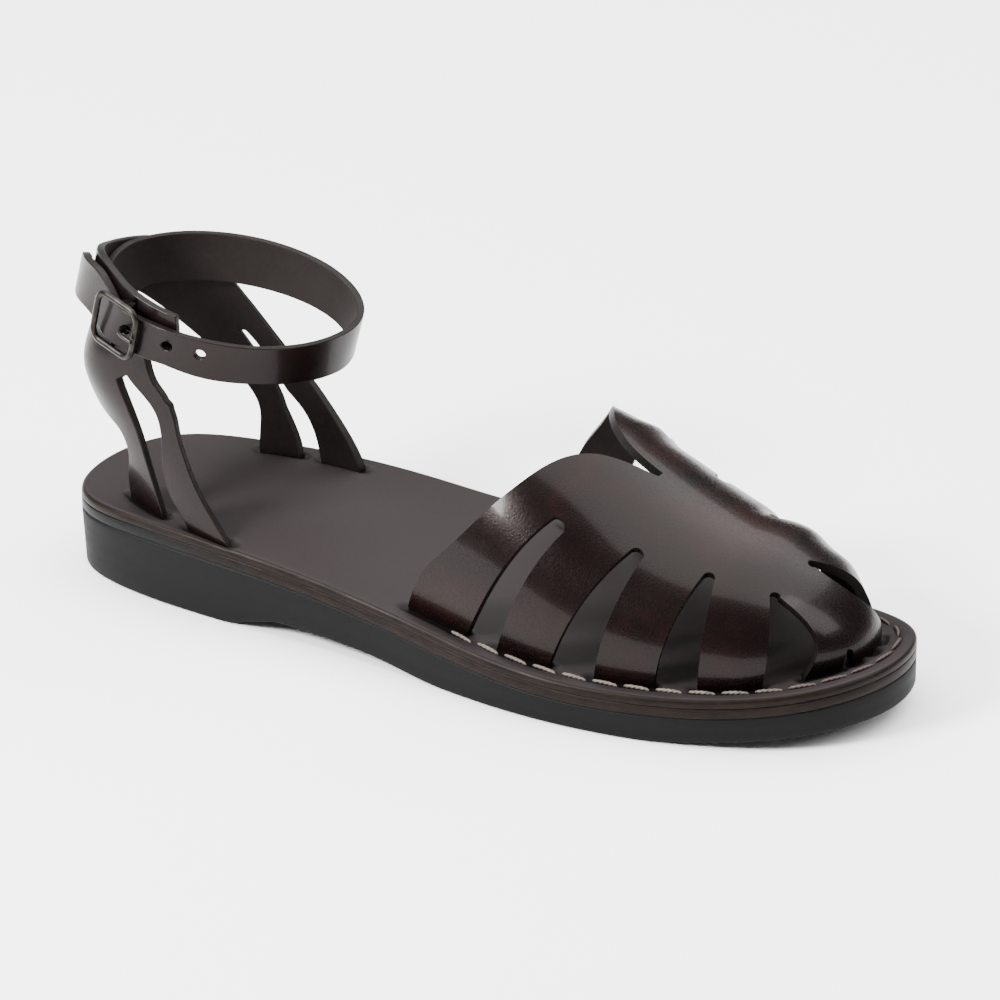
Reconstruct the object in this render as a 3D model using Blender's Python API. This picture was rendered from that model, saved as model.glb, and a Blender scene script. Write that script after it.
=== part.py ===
"""A leather strap sandal for the right foot, built the way a maker puts it together.

Metres, +Z up, +X towards the toe and +Y towards the inner side of the foot. The origin is on the
floor, under the middle of the heel's tread. Each leather piece is cut from a flat pattern and then
laid on a form: the vamp on the last of the forefoot, the quarters and straps on the heel and ankle.
"""

import math

import bmesh
import bpy
import numpy as np
from mathutils import Matrix, Vector
from mathutils.geometry import delaunay_2d_cdt

# Driving sizes of the sole
SHOE_LENGTH = 0.255
BALL_WIDTH = 0.092
HEEL_BACK = -0.0315
FOOTBED_HEIGHT = 0.0242
ARCH_RISE = 0.0042
TOE_SPRING = 0.0059
INSOLE_THICKNESS = 0.0028
MIDSOLE_THICKNESS = 0.0028
FIT_GAP = 0.0003
HEEL_DRAFT = 0.0009
RIM_ROUND = 0.0006

# Driving sizes of the vamp
VAMP_THICKNESS = 0.0028
INSTEP_HEIGHT = 0.0587
TUCK_INSET = 0.0068
TOE_INSET = 0.0098
TUCK_ANGLE = math.radians(103.0)
SECTION_ROUNDNESS = 0.957
CREST_SHIFT = 0.0022
SLOT_TIP = 0.0016
RELIEF_HEIGHT = 0.0015

# Driving sizes of the quarters and the ankle strap
STRAP_THICKNESS = 0.0023
STRAP_HEIGHT = 0.0787
STRAP_ROOT_WIDTH = 0.0149
STRAP_TIP_WIDTH = 0.0116
HEEL_REACH = 0.042
STRAP_LEAN = math.radians(9.0)
HOLE_DIAMETER = 0.0027

# Driving sizes of the buckle
BUCKLE_BAR = 0.0019
BUCKLE_LENGTH = 0.0172
BUCKLE_CORNER = 0.0034
FRAME_LIFT = 0.0016
PRONG_DIAMETER = 0.0017
SIDE_CLEARANCE = 0.0010

# How finely the solids are cut
RIM_STATIONS = 40
FILL_COLUMNS = 5
VAMP_STEP = 0.0048
STRAP_STEP = 0.0038

# The sole's outline from the heel's end by the outer side to the toe and back by the inner side:
# along as a share of SHOE_LENGTH, across as a share of BALL_WIDTH
OUTLINE = np.array([
    # along, across
    (0.000, -0.020),
    (0.026, -0.275),
    (0.124, -0.378),
    (0.300, -0.404),
    (0.450, -0.418),
    (0.600, -0.467),
    (0.718, -0.458),
    (0.848, -0.374),
    (0.950, -0.215),
    (1.000, 0.056),
    (0.980, 0.275),
    (0.871, 0.434),
    (0.736, 0.536),
    (0.582, 0.512),
    (0.420, 0.432),
    (0.280, 0.384),
    (0.134, 0.312),
    (0.034, 0.208),
])

# Heights along the sole: footbed as a share of FOOTBED_HEIGHT, arch of ARCH_RISE, spring of TOE_SPRING
LEVELS = np.array([
    # along, footbed, arch, spring
    (0.00, 0.96, 0.00, 0.00),
    (0.10, 1.00, 0.00, 0.00),
    (0.24, 0.98, 0.00, 0.00),
    (0.32, 0.92, 1.00, 0.00),
    (0.42, 0.80, 0.72, 0.00),
    (0.54, 0.66, 0.00, 0.00),
    (0.70, 0.55, 0.00, 0.00),
    (0.76, 0.56, 0.00, 0.00),
    (0.85, 0.61, 0.00, 0.27),
    (1.00, 0.83, 0.00, 1.00),
])

# The last of the forefoot: height of the crest above the footbed as a share of INSTEP_HEIGHT
CREST = np.array([
    # along, height
    (0.45, 0.885),
    (0.58, 1.000),
    (0.70, 0.768),
    (0.82, 0.572),
    (0.92, 0.446),
])
TOE_DOME_START = 0.824
VAMP_REAR = 0.44
TOE_TIP_STATION = 0.995

# The vamp's pattern. Along is a share of SHOE_LENGTH, girth runs from -1 at the outer side's tuck
# over the crest at 0 to 1 at the inner side's tuck.
THROAT_OUTER = np.array([
    # along, girth
    (0.473, -1.00),
    (0.497, -0.83),
    (0.530, -0.71),
    (0.570, -0.545),
    (0.598, -0.40),
    (0.625, -0.235),
    (0.650, -0.128),
    (0.680, -0.062),
    (0.706, -0.028),
])
THROAT_INNER = np.array([
    # along, girth
    (0.706, 0.000),
    (0.686, 0.002),
    (0.662, 0.016),
    (0.638, 0.070),
    (0.620, 0.170),
    (0.592, 0.380),
    (0.561, 0.560),
    (0.533, 0.700),
    (0.515, 1.000),
])
SLOTS = [
    # rear foot, rear bend (along, girth), tip (along, girth), front bend (along, girth), front foot
    dict(side=-1, rear=0.550, rear_bend=(0.597, 0.72), tip=(0.653, 0.44), front_bend=(0.627, 0.72), front=0.592),
    dict(side=-1, rear=0.658, rear_bend=(0.695, 0.69), tip=(0.738, 0.37), front_bend=(0.732, 0.69), front=0.713),
    dict(side=-1, rear=0.781, rear_bend=(0.796, 0.66), tip=(0.815, 0.34), front_bend=(0.838, 0.66), front=0.827),
    dict(side=-1, rear=0.890, rear_bend=(0.903, 0.66), tip=(0.881, 0.30), front_bend=(0.948, 0.50), front=0.923),
    dict(side=-1, rear=0.950, rear_bend=(0.953, 0.80), tip=(0.954, 0.62), front_bend=(0.957, 0.80), front=0.956),
    dict(side=1, rear=0.930, rear_bend=(0.930, 0.36), tip=(0.887, -0.01), front_bend=(0.955, 0.00), front=0.953),
    dict(side=1, rear=0.781, rear_bend=(0.796, 0.60), tip=(0.815, 0.21), front_bend=(0.858, 0.66), front=0.850),
    dict(side=1, rear=0.658, rear_bend=(0.695, 0.63), tip=(0.738, 0.27), front_bend=(0.732, 0.63), front=0.713),
    dict(side=1, rear=0.550, rear_bend=(0.597, 0.66), tip=(0.657, 0.33), front_bend=(0.627, 0.66), front=0.592),
]
PATTERN_LENGTH = 0.140
PATTERN_GIRTH = 0.056

# Where the moulded leather stands proud of the last or sinks below it, beside its cut edges:
# along and girth as above, how far the swelling reaches in both, its share of RELIEF_HEIGHT
RELIEF = np.array([
    # along, girth, reach along, reach in girth, height
    (0.607, 0.30, 0.012, 0.25, -0.40),
    (0.651, 0.40, 0.014, 0.22, 1.00),
    (0.700, 0.42, 0.020, 0.22, 0.20),
    (0.803, 0.39, 0.009, 0.18, -0.60),
    (0.847, 0.42, 0.022, 0.22, 1.00),
    (0.893, 0.50, 0.018, 0.20, 0.65),
    (0.930, 0.56, 0.012, 0.20, -0.35),
])

# The form of heel and ankle at five heights. Rise is 0 on the footbed and 1 at the strap. The
# other lengths are shares of SHOE_LENGTH along and of BALL_WIDTH across; corner is how square the
# outer rear corner is, taper how much the form narrows towards the back.
ANKLE_FORM = np.array([
    # rise, back, front, outer, inner, corner, taper
    (0.00, 0.031, 0.471, -0.321, 0.212, 1.10, 0.34),
    (0.40, 0.027, 0.337, -0.332, 0.299, 0.85, 0.12),
    (0.75, 0.022, 0.302, -0.315, 0.326, 0.52, 0.00),
    (1.00, 0.024, 0.306, -0.299, 0.329, 0.75, 0.00),
    (1.30, 0.029, 0.314, -0.312, 0.337, 1.00, 0.00),
])

# The quarters' patterns: turn in degrees round the ankle from the front, outer side negative, and
# rise as above
OUTER_REAR_EDGE = np.array([
    # turn, rise
    (-127, 0.00),
    (-123, 0.14),
    (-117.5, 0.25),
    (-116, 0.34),
    (-118, 0.41),
    (-126, 0.46),
    (-138, 0.53),
    (-149, 0.62),
    (-160, 0.71),
    (-174, 0.81),
    (-190, 0.90),
])
OUTER_SLOT_REAR = np.array([
    # turn, rise
    (-97.5, 0.00),
    (-100.5, 0.12),
    (-102.5, 0.27),
    (-103.5, 0.41),
    (-103.5, 0.54),
    (-103.5, 0.66),
    (-104.5, 0.73),
])
OUTER_SLOT_FRONT = np.array([
    # turn, rise
    (-100, 0.77),
    (-96, 0.71),
    (-93, 0.64),
    (-92, 0.55),
    (-92.5, 0.43),
    (-93.5, 0.31),
    (-92, 0.17),
    (-88, 0.07),
    (-85.5, 0.00),
])
OUTER_FRONT_EDGE = np.array([
    # turn, rise
    (-74.5, 0.00),
    (-78, 0.12),
    (-80, 0.21),
    (-82, 0.32),
    (-84, 0.42),
    (-86.5, 0.53),
    (-89, 0.65),
    (-91.5, 0.76),
    (-95, 0.87),
    (-102, 0.97),
    (-114, 1.05),
    (-132, 1.12),
    (-155, 1.17),
    (-180, 1.20),
])
INNER_FRONT_EDGE = np.array([
    # turn, rise
    (71, 0.00),
    (71.5, 0.10),
    (73, 0.19),
    (76, 0.28),
    (81.5, 0.38),
    (94, 0.53),
    (107.5, 0.71),
    (116.5, 0.85),
    (127, 1.00),
    (140, 1.09),
    (156, 1.16),
    (172, 1.20),
    (190, 1.25),
    (206, 1.30),
    (222, 1.33),
    (235, 1.32),
    (247, 1.28),
    (259, 1.24),
    (268, 1.21),
    (274.5, 1.19),
])
INNER_REAR_EDGE = np.array([
    # turn, rise
    (97, 0.00),
    (99, 0.10),
    (101, 0.20),
    (109, 0.32),
    (121, 0.45),
    (133, 0.57),
    (144, 0.68),
    (156, 0.80),
    (170, 0.91),
    (190, 1.00),
    (212, 1.06),
    (235, 1.07),
    (256, 1.03),
    (274.5, 0.98),
])
INNER_SLOT_REAR = np.array([
    # turn, rise
    (84.5, 0.00),
    (85.5, 0.07),
    (87.5, 0.15),
    (91, 0.24),
    (97, 0.345),
    (105, 0.465),
    (111, 0.55),
    (114, 0.595),
])
INNER_SLOT_FRONT = np.array([
    # turn, rise
    (112, 0.60),
    (107, 0.545),
    (99.5, 0.44),
    (90.5, 0.315),
    (84.5, 0.235),
    (81.5, 0.15),
    (80.5, 0.07),
    (80, 0.00),
])
# The tail beyond the buckle, which kicks up and stands off
TAIL_TOP = np.array([
    # turn, rise
    (-448, 1.125),
    (-456, 1.15),
    (-464, 1.18),
    (-472, 1.22),
    (-480, 1.275),
    (-488, 1.31),
    (-497, 1.31),
    (-506, 1.295),
    (-513, 1.27),
])
TAIL_BOTTOM = np.array([
    # turn, rise
    (-525, 1.19),
    (-519, 1.11),
    (-508, 1.08),
    (-496, 1.08),
    (-486, 1.065),
    (-478, 1.03),
    (-470, 0.99),
    (-462, 0.96),
    (-454, 0.935),
    (-448, 0.92),
])
# The middle line of the ankle strap from its root over the heel round the front to the buckle
STRAP_LINE = np.array([
    # turn, rise
    (-190, 1.058),
    (-225, 1.035),
    (-270, 0.987),
    (-315, 0.934),
    (-360, 0.910),
    (-405, 0.952),
    (-448, 1.018),
])
TAIL_TURN = -448
LAYER_CHANGE = (-365, -435)
BUCKLE_TURN = -466
BUCKLE_RISE = 1.085
BUCKLE_SLOPE = -0.00353
BAR_REACH = 6.2
BAR_SHARE = 0.93
TAIL_STAND_OFF = 0.0013
DEGREE_LENGTH = 0.00062
STRAP_HOLES = np.array([
    # turn, rise
    (-462.0, 1.072),
    (-448.0, 1.035),
    (-434.5, 1.020),
])
# The prong from its hole over the front bar: shares of half the buckle's length, and of the bar
PRONG_PATH = np.array([
    # along, out
    (0.34, -0.55),
    (0.34, 0.05),
    (0.37, 0.55),
    (0.46, 0.95),
    (0.62, 1.12),
    (0.80, 1.12),
    (1.01, 1.05),
])


def smooth_curve(table, closed=False):
    """Cubic spline through the rows of a table, by the length of the chords between them."""
    points = np.vstack([table, table[:1]]) if closed else np.asarray(table, float)
    knots = np.concatenate([[0.0], np.cumsum(np.linalg.norm(np.diff(points, axis=0), axis=1))])
    knots /= knots[-1]
    return knots, spline(knots, points, closed)


def spline(knots, values, closed=False):
    """Cubic spline of values at knots: the second derivatives come from one small linear system."""
    values = np.asarray(values, float)
    gaps = np.diff(knots)
    count = len(knots)
    slopes = (np.diff(values, axis=0).T / gaps).T
    system = np.zeros((count, count))
    right = np.zeros(values.shape)
    for i in range(1, count - 1):
        system[i, i - 1] = gaps[i - 1]
        system[i, i] = 2 * (gaps[i - 1] + gaps[i])
        system[i, i + 1] = gaps[i]
        right[i] = 6 * (slopes[i] - slopes[i - 1])
    system[0, 0] = 1
    system[-1, -1] = 1
    if closed:
        system[0, :] = 0
        system[0, 0] = 2 * (gaps[-1] + gaps[0])
        system[0, 1] = gaps[0]
        system[0, -2] = gaps[-1]
        right[0] = 6 * (slopes[0] - slopes[-1])
        system[-1, 0] = -1
    bends = np.linalg.solve(system, right)

    def value(at):
        at = np.asarray(at, float)
        i = np.clip(np.searchsorted(knots, at, side="right") - 1, 0, count - 2)
        gap = gaps[i]
        left = (knots[i + 1] - at) / gap
        here = (at - knots[i]) / gap
        if values.ndim > 1:
            gap, left, here = gap[..., None], left[..., None], here[..., None]
        curved = (left ** 3 - left) * bends[i] + (here ** 3 - here) * bends[i + 1]
        return left * values[i] + here * values[i + 1] + curved * gap ** 2 / 6

    return value


def eased(knots, values):
    """Smooth curve through values that never overshoots them: Hermite pieces with limited slopes."""
    gaps = np.diff(knots)
    slopes = np.diff(values) / gaps
    ends = np.zeros(len(knots))
    product = slopes[:-1] * slopes[1:]
    total = slopes[:-1] + slopes[1:]
    ends[1:-1] = np.where(product > 0, 2 * product / np.where(total == 0, 1, total), 0)
    ends[0], ends[-1] = slopes[0], slopes[-1]

    def value(at):
        at = np.clip(at, knots[0], knots[-1])
        i = np.clip(np.searchsorted(knots, at, side="right") - 1, 0, len(knots) - 2)
        t = (at - knots[i]) / gaps[i]
        rise = values[i] * (2 * t ** 3 - 3 * t ** 2 + 1) + values[i + 1] * (3 * t ** 2 - 2 * t ** 3)
        return rise + gaps[i] * (ends[i] * (t ** 3 - 2 * t ** 2 + t) + ends[i + 1] * (t ** 3 - t ** 2))

    return value


def ramp(at, start, end):
    """0 before start, 1 after end, and a smooth S between."""
    t = np.clip((at - start) / (end - start), 0, 1)
    return t * t * (3 - 2 * t)


FOOTBED_CURVE = spline(LEVELS[:, 0], LEVELS[:, 1])
ARCH_CURVE = eased(LEVELS[:, 0], LEVELS[:, 2])
SPRING_CURVE = eased(LEVELS[:, 0], LEVELS[:, 3])
CREST_CURVE = spline(CREST[:, 0], CREST[:, 1])
STRAP_CURVE = spline(-STRAP_LINE[:, 0], STRAP_LINE[:, 1])
FORM_CURVES = [eased(ANKLE_FORM[:, 0], ANKLE_FORM[:, i]) for i in range(1, ANKLE_FORM.shape[1])]


def share_along(x):
    """Place along the shoe as a share of its length, from the back of the heel."""
    return (x - HEEL_BACK) / SHOE_LENGTH


def footbed_height(x):
    """Height of the insole's top, with the low waist and the spring of the toe."""
    return FOOTBED_HEIGHT * FOOTBED_CURVE(np.clip(share_along(x), 0, 1))


def tread_height(x):
    """Height of the outsole's underside: flat under heel and ball, raised at arch and toe."""
    along = np.clip(share_along(x), 0, 1)
    return ARCH_RISE * ARCH_CURVE(along) + TOE_SPRING * SPRING_CURVE(along)


def sole_outline(count=1440):
    """Dense points of the sole's outline and the directions that point out of it."""
    scale = np.array([SHOE_LENGTH, BALL_WIDTH])
    _, curve = smooth_curve(OUTLINE * scale, closed=True)
    points = curve(np.linspace(0, 1, count, endpoint=False))
    points[:, 0] += HEEL_BACK
    step = np.roll(points, -1, axis=0) - np.roll(points, 1, axis=0)
    outward = np.stack([step[:, 1], -step[:, 0]], axis=1)
    outward /= np.linalg.norm(outward, axis=1)[:, None]
    return points, outward


def two_sides(ring):
    """The outer and inner side of a closed outline, each from the heel's end to the toe's."""
    start = ring[:, 0].argmin()
    ring = np.roll(ring, -start, axis=0)
    turn = ring[:, 0].argmax()
    outer = ring[: turn + 1]
    inner = np.vstack([ring[turn:], ring[:1]])[::-1]
    return outer, inner


def ladder(ring, stations):
    """Outline points in pairs on shared stations: heel end, outer side, toe end, inner side."""
    outer, inner = two_sides(ring)
    low, high = outer[0, 0], outer[-1, 0]
    x = low + (high - low) * (1 - np.cos(np.linspace(0, math.pi, stations + 1))) / 2
    outer_y = np.interp(x, outer[:, 0], outer[:, 1])
    inner_y = np.interp(x, inner[:, 0], inner[:, 1])
    outer_y[0], outer_y[-1] = outer[0, 1], outer[-1, 1]
    outer_side = np.stack([x, outer_y], axis=1)
    inner_side = np.stack([x, inner_y], axis=1)[-2:0:-1]
    return np.vstack([outer_side, inner_side])


def material(name, colour, roughness, metallic=0.0):
    """Principled material of one piece."""
    made = bpy.data.materials.new(name)
    made.use_nodes = True
    shader = made.node_tree.nodes["Principled BSDF"]
    shader.inputs["Base Color"].default_value = (*colour, 1.0)
    shader.inputs["Roughness"].default_value = roughness
    shader.inputs["Metallic"].default_value = metallic
    return made


def solid(name, vertices, faces, finish):
    """Mesh object of one closed piece, its faces turned outwards."""
    mesh = bpy.data.meshes.new(name)
    mesh.from_pydata([tuple(map(float, v)) for v in vertices], [], [tuple(map(int, f)) for f in faces])
    shape = bmesh.new()
    shape.from_mesh(mesh)
    bmesh.ops.triangulate(shape, faces=shape.faces)
    if shape.calc_volume(signed=True) < 0:
        bmesh.ops.reverse_faces(shape, faces=shape.faces)
    shape.to_mesh(mesh)
    shape.free()
    mesh.shade_smooth()
    mesh.set_sharp_from_angle(angle=math.radians(40))
    mesh.materials.append(finish)
    piece = bpy.data.objects.new(name, mesh)
    bpy.context.scene.collection.objects.link(piece)
    return piece


def sole_layer(name, profile, finish):
    """A layer of the sole: rings round the outline, filled across at its top and its underside.

    profile lists the rings from the underside's rim to the top's, each as an inset along the
    outline's normal, which may differ by place, and a function for the height.
    """
    points, outward = sole_outline()
    rings = []
    for inset, height in profile:
        depth = inset(points[:, 0]) if callable(inset) else np.full(len(points), inset)
        flat = ladder(points - outward * depth[:, None], RIM_STATIONS)
        rings.append(np.column_stack([flat, height(flat[:, 0])]))
    count = len(rings[0])
    vertices = list(np.vstack(rings))
    faces = []
    for r in range(len(rings) - 1):
        for i in range(count):
            j = (i + 1) % count
            faces.append((r * count + i, r * count + j, (r + 1) * count + j, (r + 1) * count + i))
    for level, turned in ((0, True), (len(rings) - 1, False)):
        ring = rings[level]
        height = profile[level][1]
        first = level * count
        rows = [[first]]
        for i in range(1, RIM_STATIONS):
            outer, inner = ring[i], ring[count - i]
            row = [first + i]
            for c in range(1, FILL_COLUMNS):
                point = outer + (inner - outer) * c / FILL_COLUMNS
                row.append(len(vertices))
                vertices.append(np.array([point[0], point[1], height(point[0])]))
            row.append(first + count - i)
            rows.append(row)
        rows.append([first + RIM_STATIONS])
        for a, b in zip(rows, rows[1:]):
            if len(a) == 1:
                fill = [(a[0], b[c], b[c + 1]) for c in range(FILL_COLUMNS)]
            elif len(b) == 1:
                fill = [(a[c], b[0], a[c + 1]) for c in range(FILL_COLUMNS)]
            else:
                fill = [(a[c], b[c], b[c + 1], a[c + 1]) for c in range(FILL_COLUMNS)]
            faces.extend([f[::-1] for f in fill] if turned else fill)
    return solid(name, vertices, faces, finish)


def make_sole():
    """Outsole, midsole and insole, stacked with FIT_GAP between them."""
    rubber = material("outsole_rubber", (0.03, 0.03, 0.031), 0.6)
    board = material("midsole_leather", (0.07, 0.045, 0.032), 0.5)
    footbed = material("insole_leather", (0.09, 0.078, 0.08), 0.55)
    insole_base = INSOLE_THICKNESS
    midsole_top = insole_base + FIT_GAP
    midsole_base = midsole_top + MIDSOLE_THICKNESS
    outsole_top = midsole_base + FIT_GAP

    def under(depth):
        return lambda x: footbed_height(x) - depth

    def draft(x):
        return HEEL_DRAFT * (1 - ramp(share_along(x), 0.02, 0.16))

    outsole = sole_layer("outsole", [
        (lambda x: draft(x) + RIM_ROUND, tread_height),
        (draft, lambda x: tread_height(x) + RIM_ROUND),
        (0.0, under(outsole_top)),
    ], rubber)
    midsole = sole_layer("midsole", [
        (0.0, under(midsole_base)),
        (0.0, under(midsole_top)),
    ], board)
    insole = sole_layer("insole", [
        (0.0, under(insole_base)),
        (0.0, under(RIM_ROUND)),
        (RIM_ROUND, under(0.0)),
    ], footbed)
    return outsole, midsole, insole


def tuck_sides():
    """The line where the vamp goes into the footbed, as its outer and inner side."""
    points, outward = sole_outline()
    toe = ramp(share_along(points[:, 0]), 0.88, 0.96)
    inset = TUCK_INSET + (TOE_INSET - TUCK_INSET) * toe
    return two_sides(points - outward * inset[:, None])


TUCK_OUTER, TUCK_INNER = tuck_sides()


def station_of(along):
    """Station of the vamp's pattern: 0 at its rear, 1 at the tip of the toe, where it closes."""
    rear = HEEL_BACK + VAMP_REAR * SHOE_LENGTH
    tip = TUCK_OUTER[-1, 0]
    share = (HEEL_BACK + np.asarray(along) * SHOE_LENGTH - rear) / (tip - rear)
    return np.arcsin(np.clip(share, 0, 1)) * 2 / math.pi


def last_surface(station, girth):
    """Outer face of the leather on the last: arches from tuck to tuck, closing like a dome at the toe."""
    rear = HEEL_BACK + VAMP_REAR * SHOE_LENGTH
    tip = TUCK_OUTER[-1, 0]
    x = rear + (tip - rear) * np.sin(station * math.pi / 2)
    along = share_along(x)
    dome_start = HEEL_BACK + TOE_DOME_START * SHOE_LENGTH
    closing = np.sqrt(np.clip(1 - np.clip((x - dome_start) / (tip - dome_start), 0, 1) ** 2, 0, 1))
    height = INSTEP_HEIGHT * CREST_CURVE(along) * closing
    outer = np.interp(x, TUCK_OUTER[:, 0], TUCK_OUTER[:, 1])
    inner = np.interp(x, TUCK_INNER[:, 0], TUCK_INNER[:, 1])
    crest = (outer + inner) / 2 + CREST_SHIFT * closing
    angle = girth * TUCK_ANGLE
    sine, cosine = np.sin(angle), np.cos(angle)
    reach = np.where(girth < 0, crest - outer, inner - crest)
    bow = np.sign(sine) * (np.abs(sine) / math.sin(TUCK_ANGLE)) ** SECTION_ROUNDNESS
    base = footbed_height(x) + FIT_GAP
    rise = (cosine - math.cos(TUCK_ANGLE)) / (1 - math.cos(TUCK_ANGLE))
    return np.stack([x, crest + reach * bow, base + height * rise], axis=-1)


def surface_normal(surface, a, b, step):
    """Outward normal of a surface of two parameters, from central differences."""
    across = surface(a + step, b) - surface(a - step, b)
    along = surface(a, b + step) - surface(a, b - step)
    normal = np.cross(across, along)
    return normal / np.linalg.norm(normal, axis=-1)[..., None]


def moulded(x, girth):
    """Height of the leather's relief over the last: a sum of bell-shaped swellings."""
    along = share_along(x)[:, None]
    bells = ((along - RELIEF[:, 0]) / RELIEF[:, 2]) ** 2 + ((girth[:, None] - RELIEF[:, 1]) / RELIEF[:, 3]) ** 2
    return RELIEF_HEIGHT * (RELIEF[:, 4] * np.exp(-bells)).sum(axis=1)


def vamp_leather(flat, outside):
    """Place of pattern points on the last, on the leather's outside or its flesh side."""
    station = flat[:, 0] / PATTERN_LENGTH
    girth = flat[:, 1] / PATTERN_GIRTH
    place = last_surface(station, girth)
    inward = np.minimum(station, 0.97)
    normal = surface_normal(last_surface, inward, np.clip(girth, -0.98, 0.98), 0.004)
    normal *= np.sign((normal * (place - last_centre(place[:, 0]))).sum(axis=1))[:, None]
    out = moulded(place[:, 0], girth) - (0.0 if outside else VAMP_THICKNESS)
    return place + normal * out[:, None]


def last_centre(x):
    """Points low in the middle of the last, which every outward normal points away from."""
    middle = (np.interp(x, TUCK_OUTER[:, 0], TUCK_OUTER[:, 1]) + np.interp(x, TUCK_INNER[:, 0], TUCK_INNER[:, 1])) / 2
    return np.stack([np.minimum(x, HEEL_BACK + 0.88 * SHOE_LENGTH), middle, footbed_height(x)], axis=-1)


def evenly(points, step):
    """Points along a line of points, about a step apart, with both ends kept."""
    points = np.asarray(points, float)
    length = np.concatenate([[0.0], np.cumsum(np.linalg.norm(np.diff(points, axis=0), axis=1))])
    count = max(1, round(length[-1] / step))
    at = np.linspace(0, length[-1], count + 1)
    return np.stack([np.interp(at, length, points[:, c]) for c in range(2)], axis=1)


def edge_line(table, step):
    """Smooth edge through a table's rows, in evenly spaced points."""
    _, curve = smooth_curve(table)
    return evenly(curve(np.linspace(0, 1, 200)), step)


def bend(start, middle, end, step):
    """Quadratic curve from start to end, pulled towards middle."""
    t = np.linspace(0, 1, 60)[:, None]
    return evenly((1 - t) ** 2 * start + 2 * t * (1 - t) * middle + t ** 2 * end, step)


def join(lines):
    """One closed outline from lines that follow each other, without doubled points."""
    points = np.vstack(lines)
    apart = np.linalg.norm(points - np.roll(points, 1, axis=0), axis=1) > 1e-6
    return points[apart]


def vamp_flat(along, girth):
    """Pattern coordinates of a place on the vamp."""
    return np.array([float(station_of(along)) * PATTERN_LENGTH, girth * PATTERN_GIRTH])


def slot_line(slot, step):
    """One slot, from its rear foot over its round tip to its front foot."""
    side = slot["side"]
    rear = vamp_flat(slot["rear"], side)
    front = vamp_flat(slot["front"], side)
    tip = vamp_flat(slot["tip"][0], side * slot["tip"][1])
    rear_bend = vamp_flat(slot["rear_bend"][0], side * slot["rear_bend"][1])
    front_bend = vamp_flat(slot["front_bend"][0], side * slot["front_bend"][1])
    radius = min(SLOT_TIP, np.linalg.norm(front - rear) * 0.4)
    foot = (rear + front) / 2
    axis = (tip - foot) / np.linalg.norm(tip - foot)
    cross = np.array([axis[1], -axis[0]])
    if cross @ (front - rear) < 0:
        cross = -cross
    centre = tip - axis * radius
    angles = np.linspace(math.pi, 0, 7)[1:-1]
    cap = [centre + radius * (math.cos(a) * cross + math.sin(a) * axis) for a in angles]
    return np.vstack([
        bend(rear, rear_bend, centre - cross * radius, step),
        cap,
        bend(centre + cross * radius, front_bend, front, step),
    ])


def vamp_outline(step):
    """Closed outline of the vamp's pattern with its slots and the V of its throat."""
    outer = [s for s in SLOTS if s["side"] < 0]
    inner = [s for s in SLOTS if s["side"] > 0]
    outer.sort(key=lambda s: s["rear"])
    inner.sort(key=lambda s: -s["rear"])
    lines = []
    here = vamp_flat(THROAT_OUTER[0, 0], -1)
    for slot in outer:
        line = slot_line(slot, step)
        lines.append(evenly([here, line[0]], step)[:-1])
        lines.append(line)
        here = line[-1]
    tip = TOE_TIP_STATION * PATTERN_LENGTH
    lines.append(evenly([here, (tip, -PATTERN_GIRTH)], step)[:-1])
    lines.append(evenly([(tip, -PATTERN_GIRTH), (tip, PATTERN_GIRTH)], step * 2))
    here = np.array([tip, PATTERN_GIRTH])
    for slot in inner:
        line = slot_line(slot, step)[::-1]
        lines.append(evenly([here, line[0]], step)[:-1])
        lines.append(line)
        here = line[-1]
    heel = vamp_flat(THROAT_INNER[-1, 0], 1)
    lines.append(evenly([here, heel], step)[:-1])
    throat_inner = np.array([vamp_flat(a, g) for a, g in THROAT_INNER])
    throat_outer = np.array([vamp_flat(a, g) for a, g in THROAT_OUTER])
    lines.append(edge_line(throat_inner, step)[::-1])
    lines.append(edge_line(throat_outer, step)[::-1][:-1])
    return join(lines)


def inside(points, ring):
    """Which points lie inside a closed outline."""
    x, y = points[:, :1], points[:, 1:]
    ax, ay = ring[:, 0], ring[:, 1]
    bx, by = np.roll(ax, -1), np.roll(ay, -1)
    crosses = (ay > y) != (by > y)
    rise = np.where(by == ay, 1, by - ay)
    return (crosses & (x < (bx - ax) * (y - ay) / rise + ax)).sum(axis=1) % 2 == 1


def distance(points, ring):
    """Least distance of each point from a closed outline."""
    a, b = ring, np.roll(ring, -1, axis=0)
    run = b - a
    t = ((points[:, None] - a) * run).sum(axis=-1) / (run ** 2).sum(axis=-1)
    near = a + np.clip(t, 0, 1)[..., None] * run
    return np.linalg.norm(points[:, None] - near, axis=-1).min(axis=1)


def cut_pattern(outline, holes, step):
    """Triangles of a flat pattern: its outline, its holes and an even net of points within."""
    rings = [outline, *holes]
    low, high = outline.min(axis=0), outline.max(axis=0)
    rows = np.arange(low[1], high[1], step * math.sqrt(3) / 2)
    columns = np.arange(low[0], high[0], step)
    net = np.array([(x + (r % 2) * step / 2, y) for r, y in enumerate(rows) for x in columns])
    net = net[inside(net, outline)]
    for hole in holes:
        net = net[~inside(net, hole)]
    for ring in rings:
        net = net[distance(net, ring) > step * 0.5]
    edges = []
    first = 0
    for ring in rings:
        edges += [(first + i, first + (i + 1) % len(ring)) for i in range(len(ring))]
        first += len(ring)
    points = [Vector(p) for p in np.vstack([*rings, net])]
    flat, _, faces, _, _, _ = delaunay_2d_cdt(points, edges, [], 0, 1e-7)
    flat = np.array([tuple(p) for p in flat])
    faces = np.array([tuple(f) for f in faces])
    middle = flat[faces].mean(axis=1)
    kept = inside(middle, outline)
    for hole in holes:
        kept &= ~inside(middle, hole)
    return flat, faces[kept]


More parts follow.
